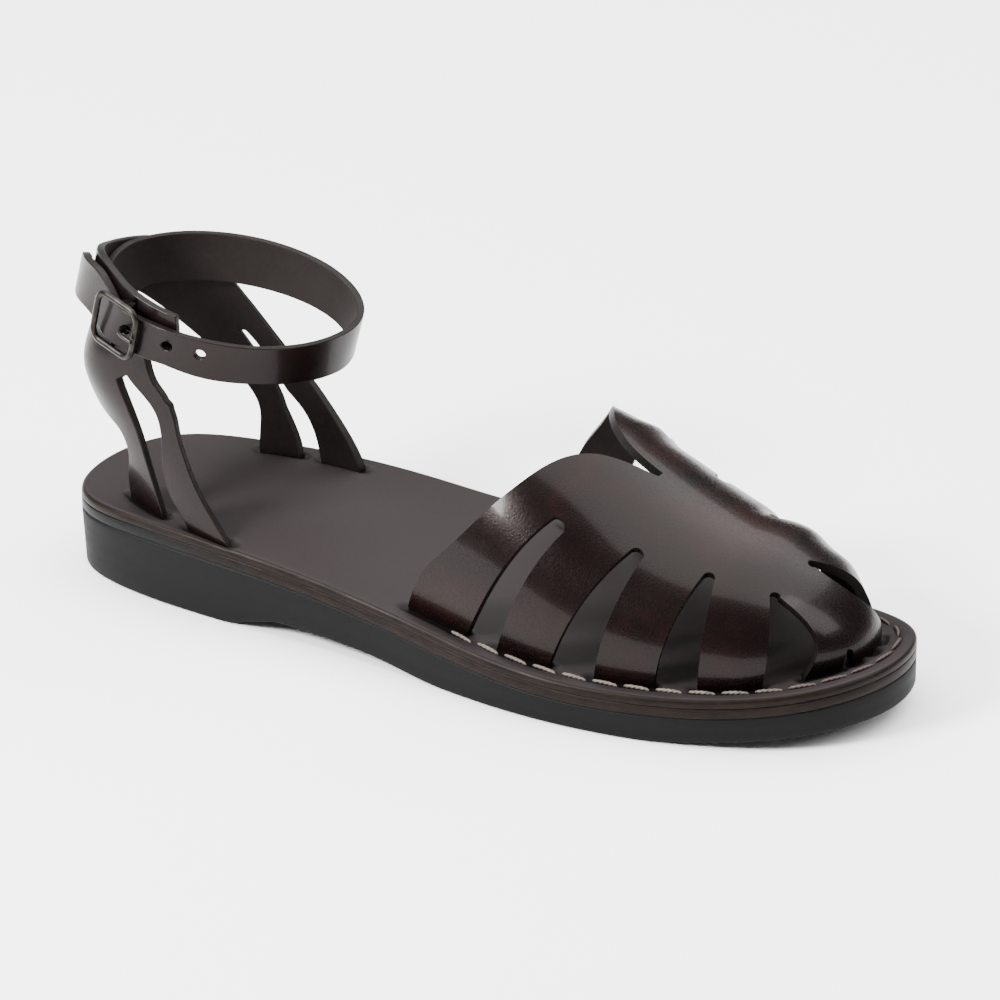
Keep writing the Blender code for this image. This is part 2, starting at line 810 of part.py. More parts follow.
def leather_piece(name, pattern, place, finish):
    """A cut piece laid on its form: both faces of the leather and the cut edge between them."""
    flat, faces = pattern
    used = np.unique(faces)
    order = np.full(len(flat), -1)
    order[used] = np.arange(len(used))
    flat, faces = flat[used], order[faces]
    outside = place(flat, True)
    flesh = place(flat, False)
    count = len(flat)
    edges = {}
    for a, b, c in faces:
        for edge in ((a, b), (b, c), (c, a)):
            edges[edge] = edges.get(edge, 0) + 1
    rim = [edge for edge in edges if (edge[1], edge[0]) not in edges]
    walls = [(b, a, a + count, b + count) for a, b in rim]
    shell = [tuple(f) for f in faces] + [tuple(f[::-1] + count) for f in faces] + walls
    return solid(name, np.vstack([outside, flesh]), shell, finish)


def make_vamp():
    """The cut-out upper of the forefoot in one piece."""
    leather = material("vamp_leather", (0.035, 0.022, 0.02), 0.3)
    pattern = cut_pattern(vamp_outline(VAMP_STEP * 0.62), [], VAMP_STEP)
    return leather_piece("vamp", pattern, vamp_leather, leather)


def ankle_form(turn, rise, stand_off):
    """Place on the heel and ankle form at a turn, a rise and a distance out from the form."""
    angle = np.radians(turn)
    back, front, outer, inner, corner, taper = [curve(rise) for curve in FORM_CURVES]
    back = HEEL_BACK + back * SHOE_LENGTH - stand_off
    front = HEEL_BACK + front * SHOE_LENGTH + stand_off
    outer = outer * BALL_WIDTH - stand_off
    inner = inner * BALL_WIDTH + stand_off
    centre = HEEL_BACK + HEEL_REACH
    cosine, sine = np.cos(angle), np.sin(angle)
    square = np.where((cosine < 0) & (sine < 0), corner, 1.0)
    reach = np.where(cosine < 0, centre - back, front - centre)
    x = centre + reach * np.sign(cosine) * np.abs(cosine) ** square
    widening = 1 + taper * (x - centre) / HEEL_REACH
    y = (outer + inner) / 2 + (inner - outer) / 2 * np.sign(sine) * np.abs(sine) ** square * widening
    base = footbed_height(x) + FIT_GAP
    return np.stack([x, y, base + rise * (STRAP_HEIGHT - base)], axis=-1)


def strap_middle(turn):
    """Rise of the ankle strap's middle line, lower at the front and higher at the back."""
    return STRAP_CURVE(-np.asarray(turn, float))


def strap_half_width(turn):
    """Half the strap's width as a rise, wide at its root and narrow at its tail."""
    span = STRAP_HEIGHT - FOOTBED_HEIGHT
    share = ramp(turn, -250.0, -430.0)
    return (STRAP_ROOT_WIDTH + (STRAP_TIP_WIDTH - STRAP_ROOT_WIDTH) * share) / 2 / span


def layer(number):
    """Distance of a layer of strap leather from the form."""
    return number * (STRAP_THICKNESS + FIT_GAP)


def outer_strap_stand_off(turn, rise):
    """Stand-off of the long strap: first layer round the heel, third one under the buckle."""
    span = STRAP_HEIGHT - FOOTBED_HEIGHT
    lift = ramp(turn, *LAYER_CHANGE)
    near_bar = np.exp(-((turn - bar_turn(rise)) / BAR_REACH) ** 4)
    tail = TAIL_STAND_OFF * ramp(turn, -476.0, -505.0)
    lean_window = ramp(turn, -300.0, -350.0) * (1 - ramp(turn, -405.0, -440.0))
    middle = strap_middle(np.maximum(turn, TAIL_TURN))
    lean = (rise - middle) * span * math.tan(STRAP_LEAN) * lean_window
    return layer(2) * lift + (BUCKLE_BAR + 3 * FIT_GAP) * near_bar + tail + lean


def wrapped(stand_off):
    """Placing function of a piece that wraps the ankle form at its own stand-off."""
    span = STRAP_HEIGHT - FOOTBED_HEIGHT

    def place(flat, outside):
        turn = flat[:, 0] / DEGREE_LENGTH
        rise = flat[:, 1] / span
        out = stand_off(turn, rise) + (STRAP_THICKNESS if outside else 0.0)
        return ankle_form(turn, rise, out)

    return place


def strap_flat(table):
    """Pattern coordinates of turns and rises."""
    span = STRAP_HEIGHT - FOOTBED_HEIGHT
    return np.asarray(table, float) * np.array([DEGREE_LENGTH, span])


def slot_ring(rear, front, step):
    """A slot that is open at the foot, as the outline's own line up one side and down the other."""
    return np.vstack([edge_line(strap_flat(rear), step), edge_line(strap_flat(front), step)])


def strap_hole(turn, rise, diameter, sides=10):
    """Round hole in the strap's pattern."""
    centre = strap_flat([(turn, rise)])[0]
    angles = np.linspace(0, 2 * math.pi, sides, endpoint=False)
    return centre + diameter / 2 * np.stack([np.cos(angles), np.sin(angles)], axis=1)


def make_outer_quarter():
    """Outer quarter with its two legs and the long ankle strap that grows out of it."""
    leather = material("strap_leather", (0.04, 0.03, 0.028), 0.4)
    step = STRAP_STEP * 0.7
    turns = np.linspace(STRAP_LINE[0, 0], TAIL_TURN, 120)
    lower = np.column_stack([turns, strap_middle(turns) - strap_half_width(turns)])
    upper = np.column_stack([turns, strap_middle(turns) + strap_half_width(turns)])
    under_edge = np.vstack([OUTER_REAR_EDGE, lower[4:-4:6], TAIL_BOTTOM[::-1]])
    over_edge = np.vstack([OUTER_FRONT_EDGE, upper[4:-4:6], TAIL_TOP])
    outline = join([
        edge_line(strap_flat(under_edge), step),
        edge_line(strap_flat(over_edge), step)[::-1],
        slot_ring(OUTER_SLOT_REAR, OUTER_SLOT_FRONT, step)[::-1],
    ])
    holes = [strap_hole(turn, rise, HOLE_DIAMETER) for turn, rise in STRAP_HOLES]
    pattern = cut_pattern(outline, holes, STRAP_STEP)
    return leather_piece("outer_quarter_strap", pattern, wrapped(outer_strap_stand_off), leather)


def make_inner_quarter():
    """Inner quarter with its two legs and the short strap round the heel that carries the buckle."""
    leather = material("inner_quarter_leather", (0.038, 0.028, 0.026), 0.4)
    step = STRAP_STEP * 0.7
    end = evenly(strap_flat([INNER_REAR_EDGE[-1], INNER_FRONT_EDGE[-1]]), step)
    outline = join([
        edge_line(strap_flat(INNER_REAR_EDGE), step),
        end[1:-1],
        edge_line(strap_flat(INNER_FRONT_EDGE), step)[::-1],
        slot_ring(INNER_SLOT_REAR, INNER_SLOT_FRONT, step)[::-1],
    ])
    pattern = cut_pattern(outline, [], STRAP_STEP)
    place = wrapped(lambda turn, rise: layer(1) + 0 * turn)
    return leather_piece("inner_quarter_strap", pattern, place, leather)


def degree_step():
    """Level step over the straps' outside, for one degree of turn at the buckle."""
    turns = BUCKLE_TURN + np.array([8.0, -8.0])
    ends = ankle_form(turns, np.full(2, BUCKLE_RISE), layer(3))
    return (ends[0] - ends[1]) * np.array([1, 1, 0]) / 16


def bar_turn(rise):
    """Turn of the buckle's centre bar at a rise: it lies square to the buckle's slope."""
    span = STRAP_HEIGHT - FOOTBED_HEIGHT
    slant = -BUCKLE_SLOPE * (span / np.linalg.norm(degree_step())) ** 2
    return BUCKLE_TURN + slant * (rise - BUCKLE_RISE)


def buckle_frame_axes():
    """Middle of the buckle on the outer side, with its directions along, across and out."""
    turn = np.array([BUCKLE_TURN])
    rise = np.array([BUCKLE_RISE])
    middle = ankle_form(turn, rise, layer(2) + STRAP_THICKNESS + FRAME_LIFT)[0]
    ahead = degree_step()
    span = STRAP_HEIGHT - FOOTBED_HEIGHT
    along = ahead + np.array([0.0, 0.0, BUCKLE_SLOPE * span])
    along /= np.linalg.norm(along)
    out = np.cross(ahead, np.array([0.0, 0.0, 1.0]))
    out /= np.linalg.norm(out)
    across = np.cross(out, along)
    return middle, along, across, out


def tube(path, radius, closed, sides=10):
    """Round bar along a path of points, with flat ends where it isn't closed."""
    path = np.asarray(path, float)
    count = len(path)
    before = np.roll(path, 1, axis=0)
    after = np.roll(path, -1, axis=0)
    if not closed:
        before[0], after[-1] = path[0], path[-1]
    ahead = after - before
    ahead /= np.linalg.norm(ahead, axis=1)[:, None]
    out = buckle_frame_axes()[3]
    side = np.cross(ahead, out)
    side /= np.linalg.norm(side, axis=1)[:, None]
    lift = np.cross(side, ahead)
    radius = np.broadcast_to(radius, count)
    vertices = []
    for i in range(count):
        for s in range(sides):
            a = 2 * math.pi * s / sides
            vertices.append(path[i] + radius[i] * (math.cos(a) * side[i] + math.sin(a) * lift[i]))
    faces = []
    for i in range(count if closed else count - 1):
        j = (i + 1) % count
        for s in range(sides):
            t = (s + 1) % sides
            faces.append((i * sides + s, i * sides + t, j * sides + t, j * sides + s))
    if not closed:
        faces.append(tuple(range(sides))[::-1])
        faces.append(tuple((count - 1) * sides + s for s in range(sides)))
    return vertices, faces


def make_buckle():
    """Centre-bar frame with rounded corners, and the prong that lies on its front bar."""
    metal = material("buckle_metal", (0.05, 0.045, 0.04), 0.35, 0.9)
    middle, along, across, out = buckle_frame_axes()
    radius = BUCKLE_BAR / 2
    half_long = BUCKLE_LENGTH / 2 - radius
    half_wide = STRAP_TIP_WIDTH / 2 + SIDE_CLEARANCE + radius
    ring = []
    corners = ((1, 1), (-1, 1), (-1, -1), (1, -1))
    for n, (sx, sy) in enumerate(corners):
        centre = np.array([sx * (half_long - BUCKLE_CORNER), sy * (half_wide - BUCKLE_CORNER)])
        for a in np.linspace(0, math.pi / 2, 5):
            angle = a + n * math.pi / 2
            ring.append(centre + BUCKLE_CORNER * np.array([math.cos(angle), math.sin(angle)]))
    frame_path = [middle + p[0] * along + p[1] * across for p in ring]
    frame = solid("buckle_frame", *tube(frame_path, radius, True), metal)
    share = np.linspace(BAR_SHARE, -BAR_SHARE, 7)
    rise = BUCKLE_RISE + share * half_wide * across[2] / (STRAP_HEIGHT - FOOTBED_HEIGHT)
    under_strap = ankle_form(bar_turn(rise), rise, layer(2) + radius)
    bar_path = [middle + across * half_wide, *under_strap, middle - across * half_wide]
    bar = solid("centre_bar", *tube(bar_path, radius * 0.98, False), metal)
    bar.hide_render = True
    bar.display_type = "WIRE"
    joined = frame.modifiers.new("centre_bar", "BOOLEAN")
    joined.operation = "UNION"
    joined.solver = "EXACT"
    joined.object = bar
    prong_path = [middle + along * a * BUCKLE_LENGTH / 2 + out * o * BUCKLE_BAR for a, o in PRONG_PATH]
    taper = PRONG_DIAMETER / 2 * np.linspace(1.0, 0.65, len(PRONG_PATH))
    solid("buckle_prong", *tube(prong_path, taper, False, 8), metal)


def main():
    for thing in list(bpy.data.objects):
        bpy.data.objects.remove(thing, do_unlink=True)
    make_sole()
    make_vamp()
    make_outer_quarter()
    make_inner_quarter()
    make_buckle()


main()
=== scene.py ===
"""Leather strap sandal for the right foot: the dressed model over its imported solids.

Metres, +Z up, +X towards the toe, +Y towards the inner side of the foot, origin on the floor in
the heel's tread. Every leather piece is cut from a flat pattern, gets its two faces and its cut
edge, and is laid on the last of the forefoot or on the form of heel and ankle by array formulas.
"""

import math

import bpy
import numpy as np
from bpy.props import FloatProperty, FloatVectorProperty, PointerProperty
from bpy.types import Operator, Panel, PropertyGroup
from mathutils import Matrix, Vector
from mathutils.geometry import delaunay_2d_cdt


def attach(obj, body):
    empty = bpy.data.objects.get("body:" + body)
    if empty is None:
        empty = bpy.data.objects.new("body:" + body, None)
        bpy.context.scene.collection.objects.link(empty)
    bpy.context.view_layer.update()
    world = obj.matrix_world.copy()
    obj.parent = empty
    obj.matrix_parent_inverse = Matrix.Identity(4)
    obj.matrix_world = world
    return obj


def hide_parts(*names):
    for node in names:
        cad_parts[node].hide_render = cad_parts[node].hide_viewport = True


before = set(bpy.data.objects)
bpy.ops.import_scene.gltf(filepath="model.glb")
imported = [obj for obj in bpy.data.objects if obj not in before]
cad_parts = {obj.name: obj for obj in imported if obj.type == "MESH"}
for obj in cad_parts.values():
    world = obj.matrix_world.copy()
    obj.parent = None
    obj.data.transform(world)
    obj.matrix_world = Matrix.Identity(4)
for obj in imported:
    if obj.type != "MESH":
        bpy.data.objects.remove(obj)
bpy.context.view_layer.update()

bl_info = {
    "name": "Strap sandal",
    "version": (1, 0, 0),
    "blender": (4, 5, 0),
    "location": "View3D > Sidebar > Sandal",
    "description": "Builds the leather, thread, rubber and buckle of a strap sandal",
    "category": "Object",
}

# Sizes shared with the solids
SHOE_LENGTH = 0.255
BALL_WIDTH = 0.092
HEEL_BACK = -0.0315
FOOTBED_HEIGHT = 0.0242
ARCH_RISE = 0.0042
TOE_SPRING = 0.0059
FIT_GAP = 0.0003
HEEL_DRAFT = 0.0009
INSTEP_HEIGHT = 0.0587
TUCK_INSET = 0.0068
TOE_INSET = 0.0098
TUCK_ANGLE = math.radians(103.0)
SECTION_ROUNDNESS = 0.957
CREST_SHIFT = 0.0022
SLOT_TIP = 0.0016
RELIEF_HEIGHT = 0.0015
STRAP_HEIGHT = 0.0787
STRAP_ROOT_WIDTH = 0.0149
STRAP_TIP_WIDTH = 0.0116
HEEL_REACH = 0.042
STRAP_LEAN = math.radians(9.0)
HOLE_DIAMETER = 0.0027
BUCKLE_LENGTH = 0.0172
BUCKLE_CORNER = 0.0034
FRAME_LIFT = 0.0016
SIDE_CLEARANCE = 0.0010
SPAN = STRAP_HEIGHT - FOOTBED_HEIGHT

# The sole's outline from the heel's end by the outer side to the toe and back
OUTLINE = np.array([
    # along, across
    (0.000, -0.020), (0.026, -0.275), (0.124, -0.378), (0.300, -0.404), (0.450, -0.418),
    (0.600, -0.467), (0.718, -0.458), (0.848, -0.374), (0.950, -0.215), (1.000, 0.056),
    (0.980, 0.275), (0.871, 0.434), (0.736, 0.536), (0.582, 0.512), (0.420, 0.432),
    (0.280, 0.384), (0.134, 0.312), (0.034, 0.208),
])
LEVELS = np.array([
    # along, footbed, arch, spring
    (0.00, 0.96, 0.00, 0.00), (0.10, 1.00, 0.00, 0.00), (0.24, 0.98, 0.00, 0.00),
    (0.32, 0.92, 1.00, 0.00), (0.42, 0.80, 0.72, 0.00), (0.54, 0.66, 0.00, 0.00),
    (0.70, 0.55, 0.00, 0.00), (0.76, 0.56, 0.00, 0.00), (0.85, 0.61, 0.00, 0.27),
    (1.00, 0.83, 0.00, 1.00),
])
CREST = np.array([(0.45, 0.885), (0.58, 1.0), (0.70, 0.768), (0.82, 0.572), (0.92, 0.446)])
TOE_DOME_START = 0.824
VAMP_REAR = 0.44
TOE_TIP_STATION = 0.995
THROAT_OUTER = np.array([
    # along, girth
    (0.473, -1.00), (0.497, -0.83), (0.530, -0.71), (0.570, -0.545), (0.598, -0.40),
    (0.625, -0.235), (0.650, -0.128), (0.680, -0.062), (0.706, -0.028),
])
THROAT_INNER = np.array([
    # along, girth
    (0.706, 0.000), (0.686, 0.002), (0.662, 0.016), (0.638, 0.070), (0.620, 0.170),
    (0.592, 0.380), (0.561, 0.560), (0.533, 0.700), (0.515, 1.000),
])
SLOTS = [
    # side, rear foot, rear bend, tip, front bend, front foot
    (-1, 0.550, (0.597, 0.72), (0.653, 0.44), (0.627, 0.72), 0.592),
    (-1, 0.658, (0.695, 0.69), (0.738, 0.37), (0.732, 0.69), 0.713),
    (-1, 0.781, (0.796, 0.66), (0.815, 0.34), (0.838, 0.66), 0.827),
    (-1, 0.890, (0.903, 0.66), (0.881, 0.30), (0.948, 0.50), 0.923),
    (-1, 0.950, (0.953, 0.80), (0.954, 0.62), (0.957, 0.80), 0.956),
    (1, 0.930, (0.930, 0.36), (0.887, -0.01), (0.955, 0.00), 0.953),
    (1, 0.781, (0.796, 0.60), (0.815, 0.21), (0.858, 0.66), 0.850),
    (1, 0.658, (0.695, 0.63), (0.738, 0.27), (0.732, 0.63), 0.713),
    (1, 0.550, (0.597, 0.66), (0.657, 0.33), (0.627, 0.66), 0.592),
]
# Where the moulded leather stands proud of the last or sinks below it, beside its cut edges
RELIEF = np.array([
    # along, girth, reach along, reach in girth, height
    (0.607, 0.30, 0.012, 0.25, -0.40), (0.651, 0.40, 0.014, 0.22, 1.00),
    (0.700, 0.42, 0.020, 0.22, 0.20), (0.803, 0.39, 0.009, 0.18, -0.60),
    (0.847, 0.42, 0.022, 0.22, 1.00), (0.893, 0.50, 0.018, 0.20, 0.65),
    (0.930, 0.56, 0.012, 0.20, -0.35),
])
PATTERN_LENGTH = 0.140
PATTERN_GIRTH = 0.056
FOOT_TUCK = 0.03
TUCK_DEPTH = 0.0016
TOE_INSET_CHANGE = (0.88, 0.96)
# Rows of the net are this share of its step apart, so that its triangles have equal sides
NET_ROWS = 0.866
# Along the shoe: end of the foremost strip's foot, and the seam's ends on outer and inner side
LAST_FOOT = 0.958
SEAM_ENDS = (0.536, 0.556)

ANKLE_FORM = np.array([
    # rise, back, front, outer, inner, corner, taper
    (0.00, 0.031, 0.471, -0.321, 0.212, 1.10, 0.34),
    (0.40, 0.027, 0.337, -0.332, 0.299, 0.85, 0.12),
    (0.75, 0.022, 0.302, -0.315, 0.326, 0.52, 0.00),
    (1.00, 0.024, 0.306, -0.299, 0.329, 0.75, 0.00),
    (1.30, 0.029, 0.314, -0.312, 0.337, 1.00, 0.00),
])
# Pattern edges of the quarters, turn in degrees round the ankle and rise above the footbed
OUTER_REAR_EDGE = np.array([
    (-127, 0.00), (-123, 0.14), (-117.5, 0.25), (-116, 0.34), (-118, 0.41), (-126, 0.46),
    (-138, 0.53), (-149, 0.62), (-160, 0.71), (-174, 0.81), (-190, 0.90),
])
OUTER_SLOT_REAR = np.array([
    (-97.5, 0.00), (-100.5, 0.12), (-102.5, 0.27), (-103.5, 0.41), (-103.5, 0.54),
    (-103.5, 0.66), (-104.5, 0.73),
])
OUTER_SLOT_FRONT = np.array([
    (-100, 0.77), (-96, 0.71), (-93, 0.64), (-92, 0.55), (-92.5, 0.43), (-93.5, 0.31),
    (-92, 0.17), (-88, 0.07), (-85.5, 0.00),
])
OUTER_FRONT_EDGE = np.array([
    (-74.5, 0.00), (-78, 0.12), (-80, 0.21), (-82, 0.32), (-84, 0.42), (-86.5, 0.53),
    (-88, 0.60), (-89.8, 0.65), (-90.3, 0.70), (-91.5, 0.76), (-95, 0.87), (-102, 0.97),
    (-114, 1.05), (-132, 1.12), (-155, 1.17), (-180, 1.20),
])
INNER_FRONT_EDGE = np.array([
    (71, 0.00), (71.5, 0.10), (73, 0.19), (76, 0.28), (81.5, 0.38), (94, 0.53), (107.5, 0.71),
    (116.5, 0.85), (127, 1.00), (140, 1.09), (156, 1.16), (172, 1.20), (190, 1.25),
    (206, 1.30), (222, 1.33), (235, 1.32), (247, 1.28), (259, 1.24), (268, 1.21), (274.5, 1.19),
])
INNER_REAR_EDGE = np.array([
    (97, 0.00), (99, 0.10), (101, 0.20), (109, 0.32), (121, 0.45), (133, 0.57), (144, 0.68),
    (156, 0.80), (170, 0.91), (190, 1.00), (212, 1.06), (235, 1.07), (256, 1.03), (274.5, 0.98),
])
INNER_SLOT_REAR = np.array([
    (84.5, 0.00), (85.5, 0.07), (87.5, 0.15), (91, 0.24), (97, 0.345), (105, 0.465),
    (111, 0.55), (114, 0.595),
])
INNER_SLOT_FRONT = np.array([
    (112, 0.60), (107, 0.545), (99.5, 0.44), (90.5, 0.315), (84.5, 0.235), (81.5, 0.15),
    (80.5, 0.07), (80, 0.00),
])
TAIL_TOP = np.array([
    (-448, 1.125), (-456, 1.15), (-464, 1.18), (-472, 1.22), (-480, 1.275), (-488, 1.31),
    (-497, 1.31), (-506, 1.295), (-513, 1.27),
])
TAIL_BOTTOM = np.array([
    (-525, 1.19), (-519, 1.11), (-508, 1.08), (-496, 1.08), (-486, 1.065), (-478, 1.03),
    (-470, 0.99), (-462, 0.96), (-454, 0.935), (-448, 0.92),
])
STRAP_LINE = np.array([
    (-190, 1.058), (-225, 1.035), (-270, 0.987), (-315, 0.934), (-360, 0.910), (-405, 0.952),
    (-448, 1.018),
])
TAIL_TURN = -448
# Turns between which the strap tapers, climbs over the short strap, leans out and lifts its tail
STRAP_TAPER = (-250.0, -430.0)
LAYER_CHANGE = (-365, -435)
LEAN_GROWS = (-300.0, -350.0)
LEAN_FADES = (-405.0, -440.0)
TAIL_LIFT = (-476.0, -505.0)
TAIL_STAND_OFF = 0.0013
BUCKLE_TURN = -466
BUCKLE_RISE = 1.085
BUCKLE_SLOPE = -0.00353
BAR_REACH = 8.5
BAR_SHARE = 0.93
BAR_LIFT = 0.62
DEGREE_LENGTH = 0.00062
LEG_FEET = [
    # from turn, to turn, stand-off
    (-127, -97.5, 0.00115), (-85.5, -74.5, 0.00115), (71, 80, 0.00375), (84.5, 97, 0.00375),
]
STRAP_HOLES = np.array([(-462.0, 1.072), (-448.0, 1.035), (-434.5, 1.020)])
PRONG_PATH = np.array([
    # along, out
    (0.34, -0.55), (0.34, 0.05), (0.37, 0.55), (0.46, 0.95), (0.62, 1.12), (0.80, 1.12),
    (1.01, 1.05),
])
# How deep and how wide the footbed is pressed: at the seam, at the feet, and raised beside them
GROOVE_DEPTH = 0.00045
GROOVE_WIDTH = 0.0010
PRESS_DEPTH = 0.0009
PRESS_HALF_WIDTH = 0.0012
PRESS_FADE = 0.0010
SWELL_HEIGHT = 0.00008
SWELL_DISTANCE = 0.0042
SWELL_WIDTH = 0.0016
# One stitch: points along and around, bluntness of its ends, plies and how it lies in the groove
STITCH_ROWS = 34
STITCH_SIDES = 14
STITCH_BLUNTNESS = 0.28
STITCH_LEAST_RADIUS = 0.00004
STITCH_SLANT = 0.0007
STITCH_SINK = 0.00035
PLY_HOLLOW = 0.78
PLY_CROWN = 0.34
PLY_TWISTS = 2.6
# Where camera and lights aim
AIM = Vector((0.0889, 0.018, 0.030))
LIGHTS = [
    # name, azimuth, elevation, distance, width, height, power
    ("overhead", 208.0, 74.0, 2.6, 5.0, 4.0, 420.0),
    ("left window", -32.0, 34.0, 1.5, 0.44, 0.36, 66.0),
    ("right window", 100.0, 40.0, 1.6, 0.6, 0.9, 16.0),
]
WORLD_STRENGTH = 0.22
FLOOR_REACH = 6.0
FLOOR_DROP = 0.0002
# How finely the sole's layers are cut along and across
SOLE_STATIONS = 160
TREAD_COLUMNS = 24
BOARD_COLUMNS = 8
FOOTBED_STATIONS = 320
FOOTBED_COLUMNS = 130


class SandalSole(PropertyGroup):
    """Sizes and colours of the sole."""

    insole_thickness: FloatProperty(name="Insole", description="Thickness of the insole's leather",
                                    default=0.0028, min=0.001, unit="LENGTH")
    midsole_thickness: FloatProperty(name="Midsole", description="Thickness of the midsole's leather",
                                     default=0.0028, min=0.001, unit="LENGTH")
    rim_round: FloatProperty(name="Rim", description="Rounding of the leather's burnished rim",
                             default=0.0015, min=0.0001, unit="LENGTH")
    stitch_inset: FloatProperty(name="Stitch inset", description="Seam's distance from the rim",
                                default=0.0049, min=0.001, unit="LENGTH")
    stitch_pitch: FloatProperty(name="Stitch pitch", description="From one stitch to the next",
                                default=0.0092, min=0.002, unit="LENGTH")
    stitch_length: FloatProperty(name="Stitch length", description="Visible length of one stitch",
                                 default=0.0076, min=0.001, unit="LENGTH")
    thread_width: FloatProperty(name="Thread", description="Diameter of the waxed thread",
                                default=0.00095, min=0.0003, unit="LENGTH")
    footbed_colour: FloatVectorProperty(name="Footbed", description="Colour of the footbed leather",
                                        subtype="COLOR", size=3, default=(0.0150, 0.0114, 0.0116))
    rim_colour: FloatVectorProperty(name="Rim colour", description="Colour of the burnished rim",
                                    subtype="COLOR", size=3, default=(0.0060, 0.0036, 0.0027))
    rubber_colour: FloatVectorProperty(name="Rubber", description="Colour of the outsole's rubber",
                                       subtype="COLOR", size=3, default=(0.0034, 0.0034, 0.0036))
    thread_colour: FloatVectorProperty(name="Thread colour", description="Colour of the seam's thread",
                                       subtype="COLOR", size=3, default=(0.115, 0.094, 0.076))


class SandalUpper(PropertyGroup):
    """Sizes and colours of vamp, quarters and straps."""

    vamp_thickness: FloatProperty(name="Vamp", description="Thickness of the vamp's leather",
                                  default=0.0026, min=0.001, unit="LENGTH")
    strap_thickness: FloatProperty(name="Straps", description="Thickness of the strap leather",
                                   default=0.0023, min=0.001, unit="LENGTH")
    edge_round: FloatProperty(name="Edge", description="Rounding of the cut edges",
                              default=0.00042, min=0.0001, unit="LENGTH")
    cut_step: FloatProperty(name="Net", description="Spacing of the points in the leather",
                            default=0.0015, min=0.0008, unit="LENGTH")
    leather_colour: FloatVectorProperty(name="Leather", description="Colour of the polished grain side",
                                        subtype="COLOR", size=3, default=(0.0034, 0.0019, 0.0018))
    patch_colour: FloatVectorProperty(name="Patches", description="Redder colour where the dye is thin",
                                      subtype="COLOR", size=3, default=(0.0125, 0.0036, 0.0026))
    flesh_colour: FloatVectorProperty(name="Flesh side", description="Colour of the leather's inner side",
                                      subtype="COLOR", size=3, default=(0.0088, 0.0064, 0.0058))
    edge_colour: FloatVectorProperty(name="Cut edge", description="Colour of the cut edges",
                                     subtype="COLOR", size=3, default=(0.0038, 0.0026, 0.0022))


class SandalBuckle(PropertyGroup):
    """Sizes and colour of the buckle."""

    bar: FloatProperty(name="Bar", description="Diameter of the frame's bars",
                       default=0.0019, min=0.001, unit="LENGTH")
    prong: FloatProperty(name="Prong", description="Diameter of the prong at its root",
                         default=0.0017, min=0.0008, unit="LENGTH")
    metal_colour: FloatVectorProperty(name="Metal", description="Colour of the dark metal",
                                      subtype="COLOR", size=3, default=(0.022, 0.0195, 0.0175))


class SandalStage(PropertyGroup):
    """Floor, light and camera."""

    floor_colour: FloatVectorProperty(name="Floor", description="Colour of the pale floor",
                                      subtype="COLOR", size=3, default=(0.96, 0.96, 0.96))
    light_power: FloatProperty(name="Light", description="Strength of all studio lights",
                               default=1.0, min=0.0)
    lens: FloatProperty(name="Lens", description="Focal length on a 36 mm wide sensor",
                        default=236.4, min=10.0)
    distance: FloatProperty(name="Distance", description="From the aim point to the camera",
                            default=1.8624, min=0.1, unit="LENGTH")
    azimuth: FloatProperty(name="Azimuth", description="Turn of the camera about the vertical",
                           default=math.radians(30.87), subtype="ANGLE")
    elevation: FloatProperty(name="Elevation", description="Height of the camera as an angle",
                             default=math.radians(25.64), subtype="ANGLE")


def spline(knots, values, closed=False):
    """Cubic spline of values at knots; its second derivatives solve one small linear system."""
    values = np.asarray(values, float)
    gaps = np.diff(knots)
    count = len(knots)
    slopes = (np.diff(values, axis=0).T / gaps).T
    inner = np.arange(1, count - 1)
    system = np.zeros((count, count))
    right = np.zeros(values.shape)
    system[inner, inner - 1] = gaps[:-1]
    system[inner, inner] = 2 * (gaps[:-1] + gaps[1:])
    system[inner, inner + 1] = gaps[1:]
    right[inner] = 6 * np.diff(slopes, axis=0)
    system[0, 0] = system[-1, -1] = 1
    if closed:
        system[0] = 0
        system[0, [0, 1, -2]] = 2 * (gaps[-1] + gaps[0]), gaps[0], gaps[-1]
        right[0] = 6 * (slopes[0] - slopes[-1])
        system[-1, 0] = -1
    bends = np.linalg.solve(system, right)

    def value(at):
        at = np.asarray(at, float)
        i = np.clip(np.searchsorted(knots, at, side="right") - 1, 0, count - 2)
        gap = gaps[i]
        left = (knots[i + 1] - at) / gap
        here = (at - knots[i]) / gap
        if values.ndim > 1:
            gap, left, here = gap[..., None], left[..., None], here[..., None]
        curved = (left ** 3 - left) * bends[i] + (here ** 3 - here) * bends[i + 1]
        return left * values[i] + here * values[i + 1] + curved * gap ** 2 / 6

    return value


def smooth_curve(table, closed=False):
    """Cubic spline through the rows of a table, by the length of the chords between them."""
    points = np.vstack([table, table[:1]]) if closed else np.asarray(table, float)
    chords = np.linalg.norm(np.diff(points, axis=0), axis=1)
    knots = np.concatenate([[0.0], np.cumsum(chords)])
    return spline(knots / knots[-1], points, closed)


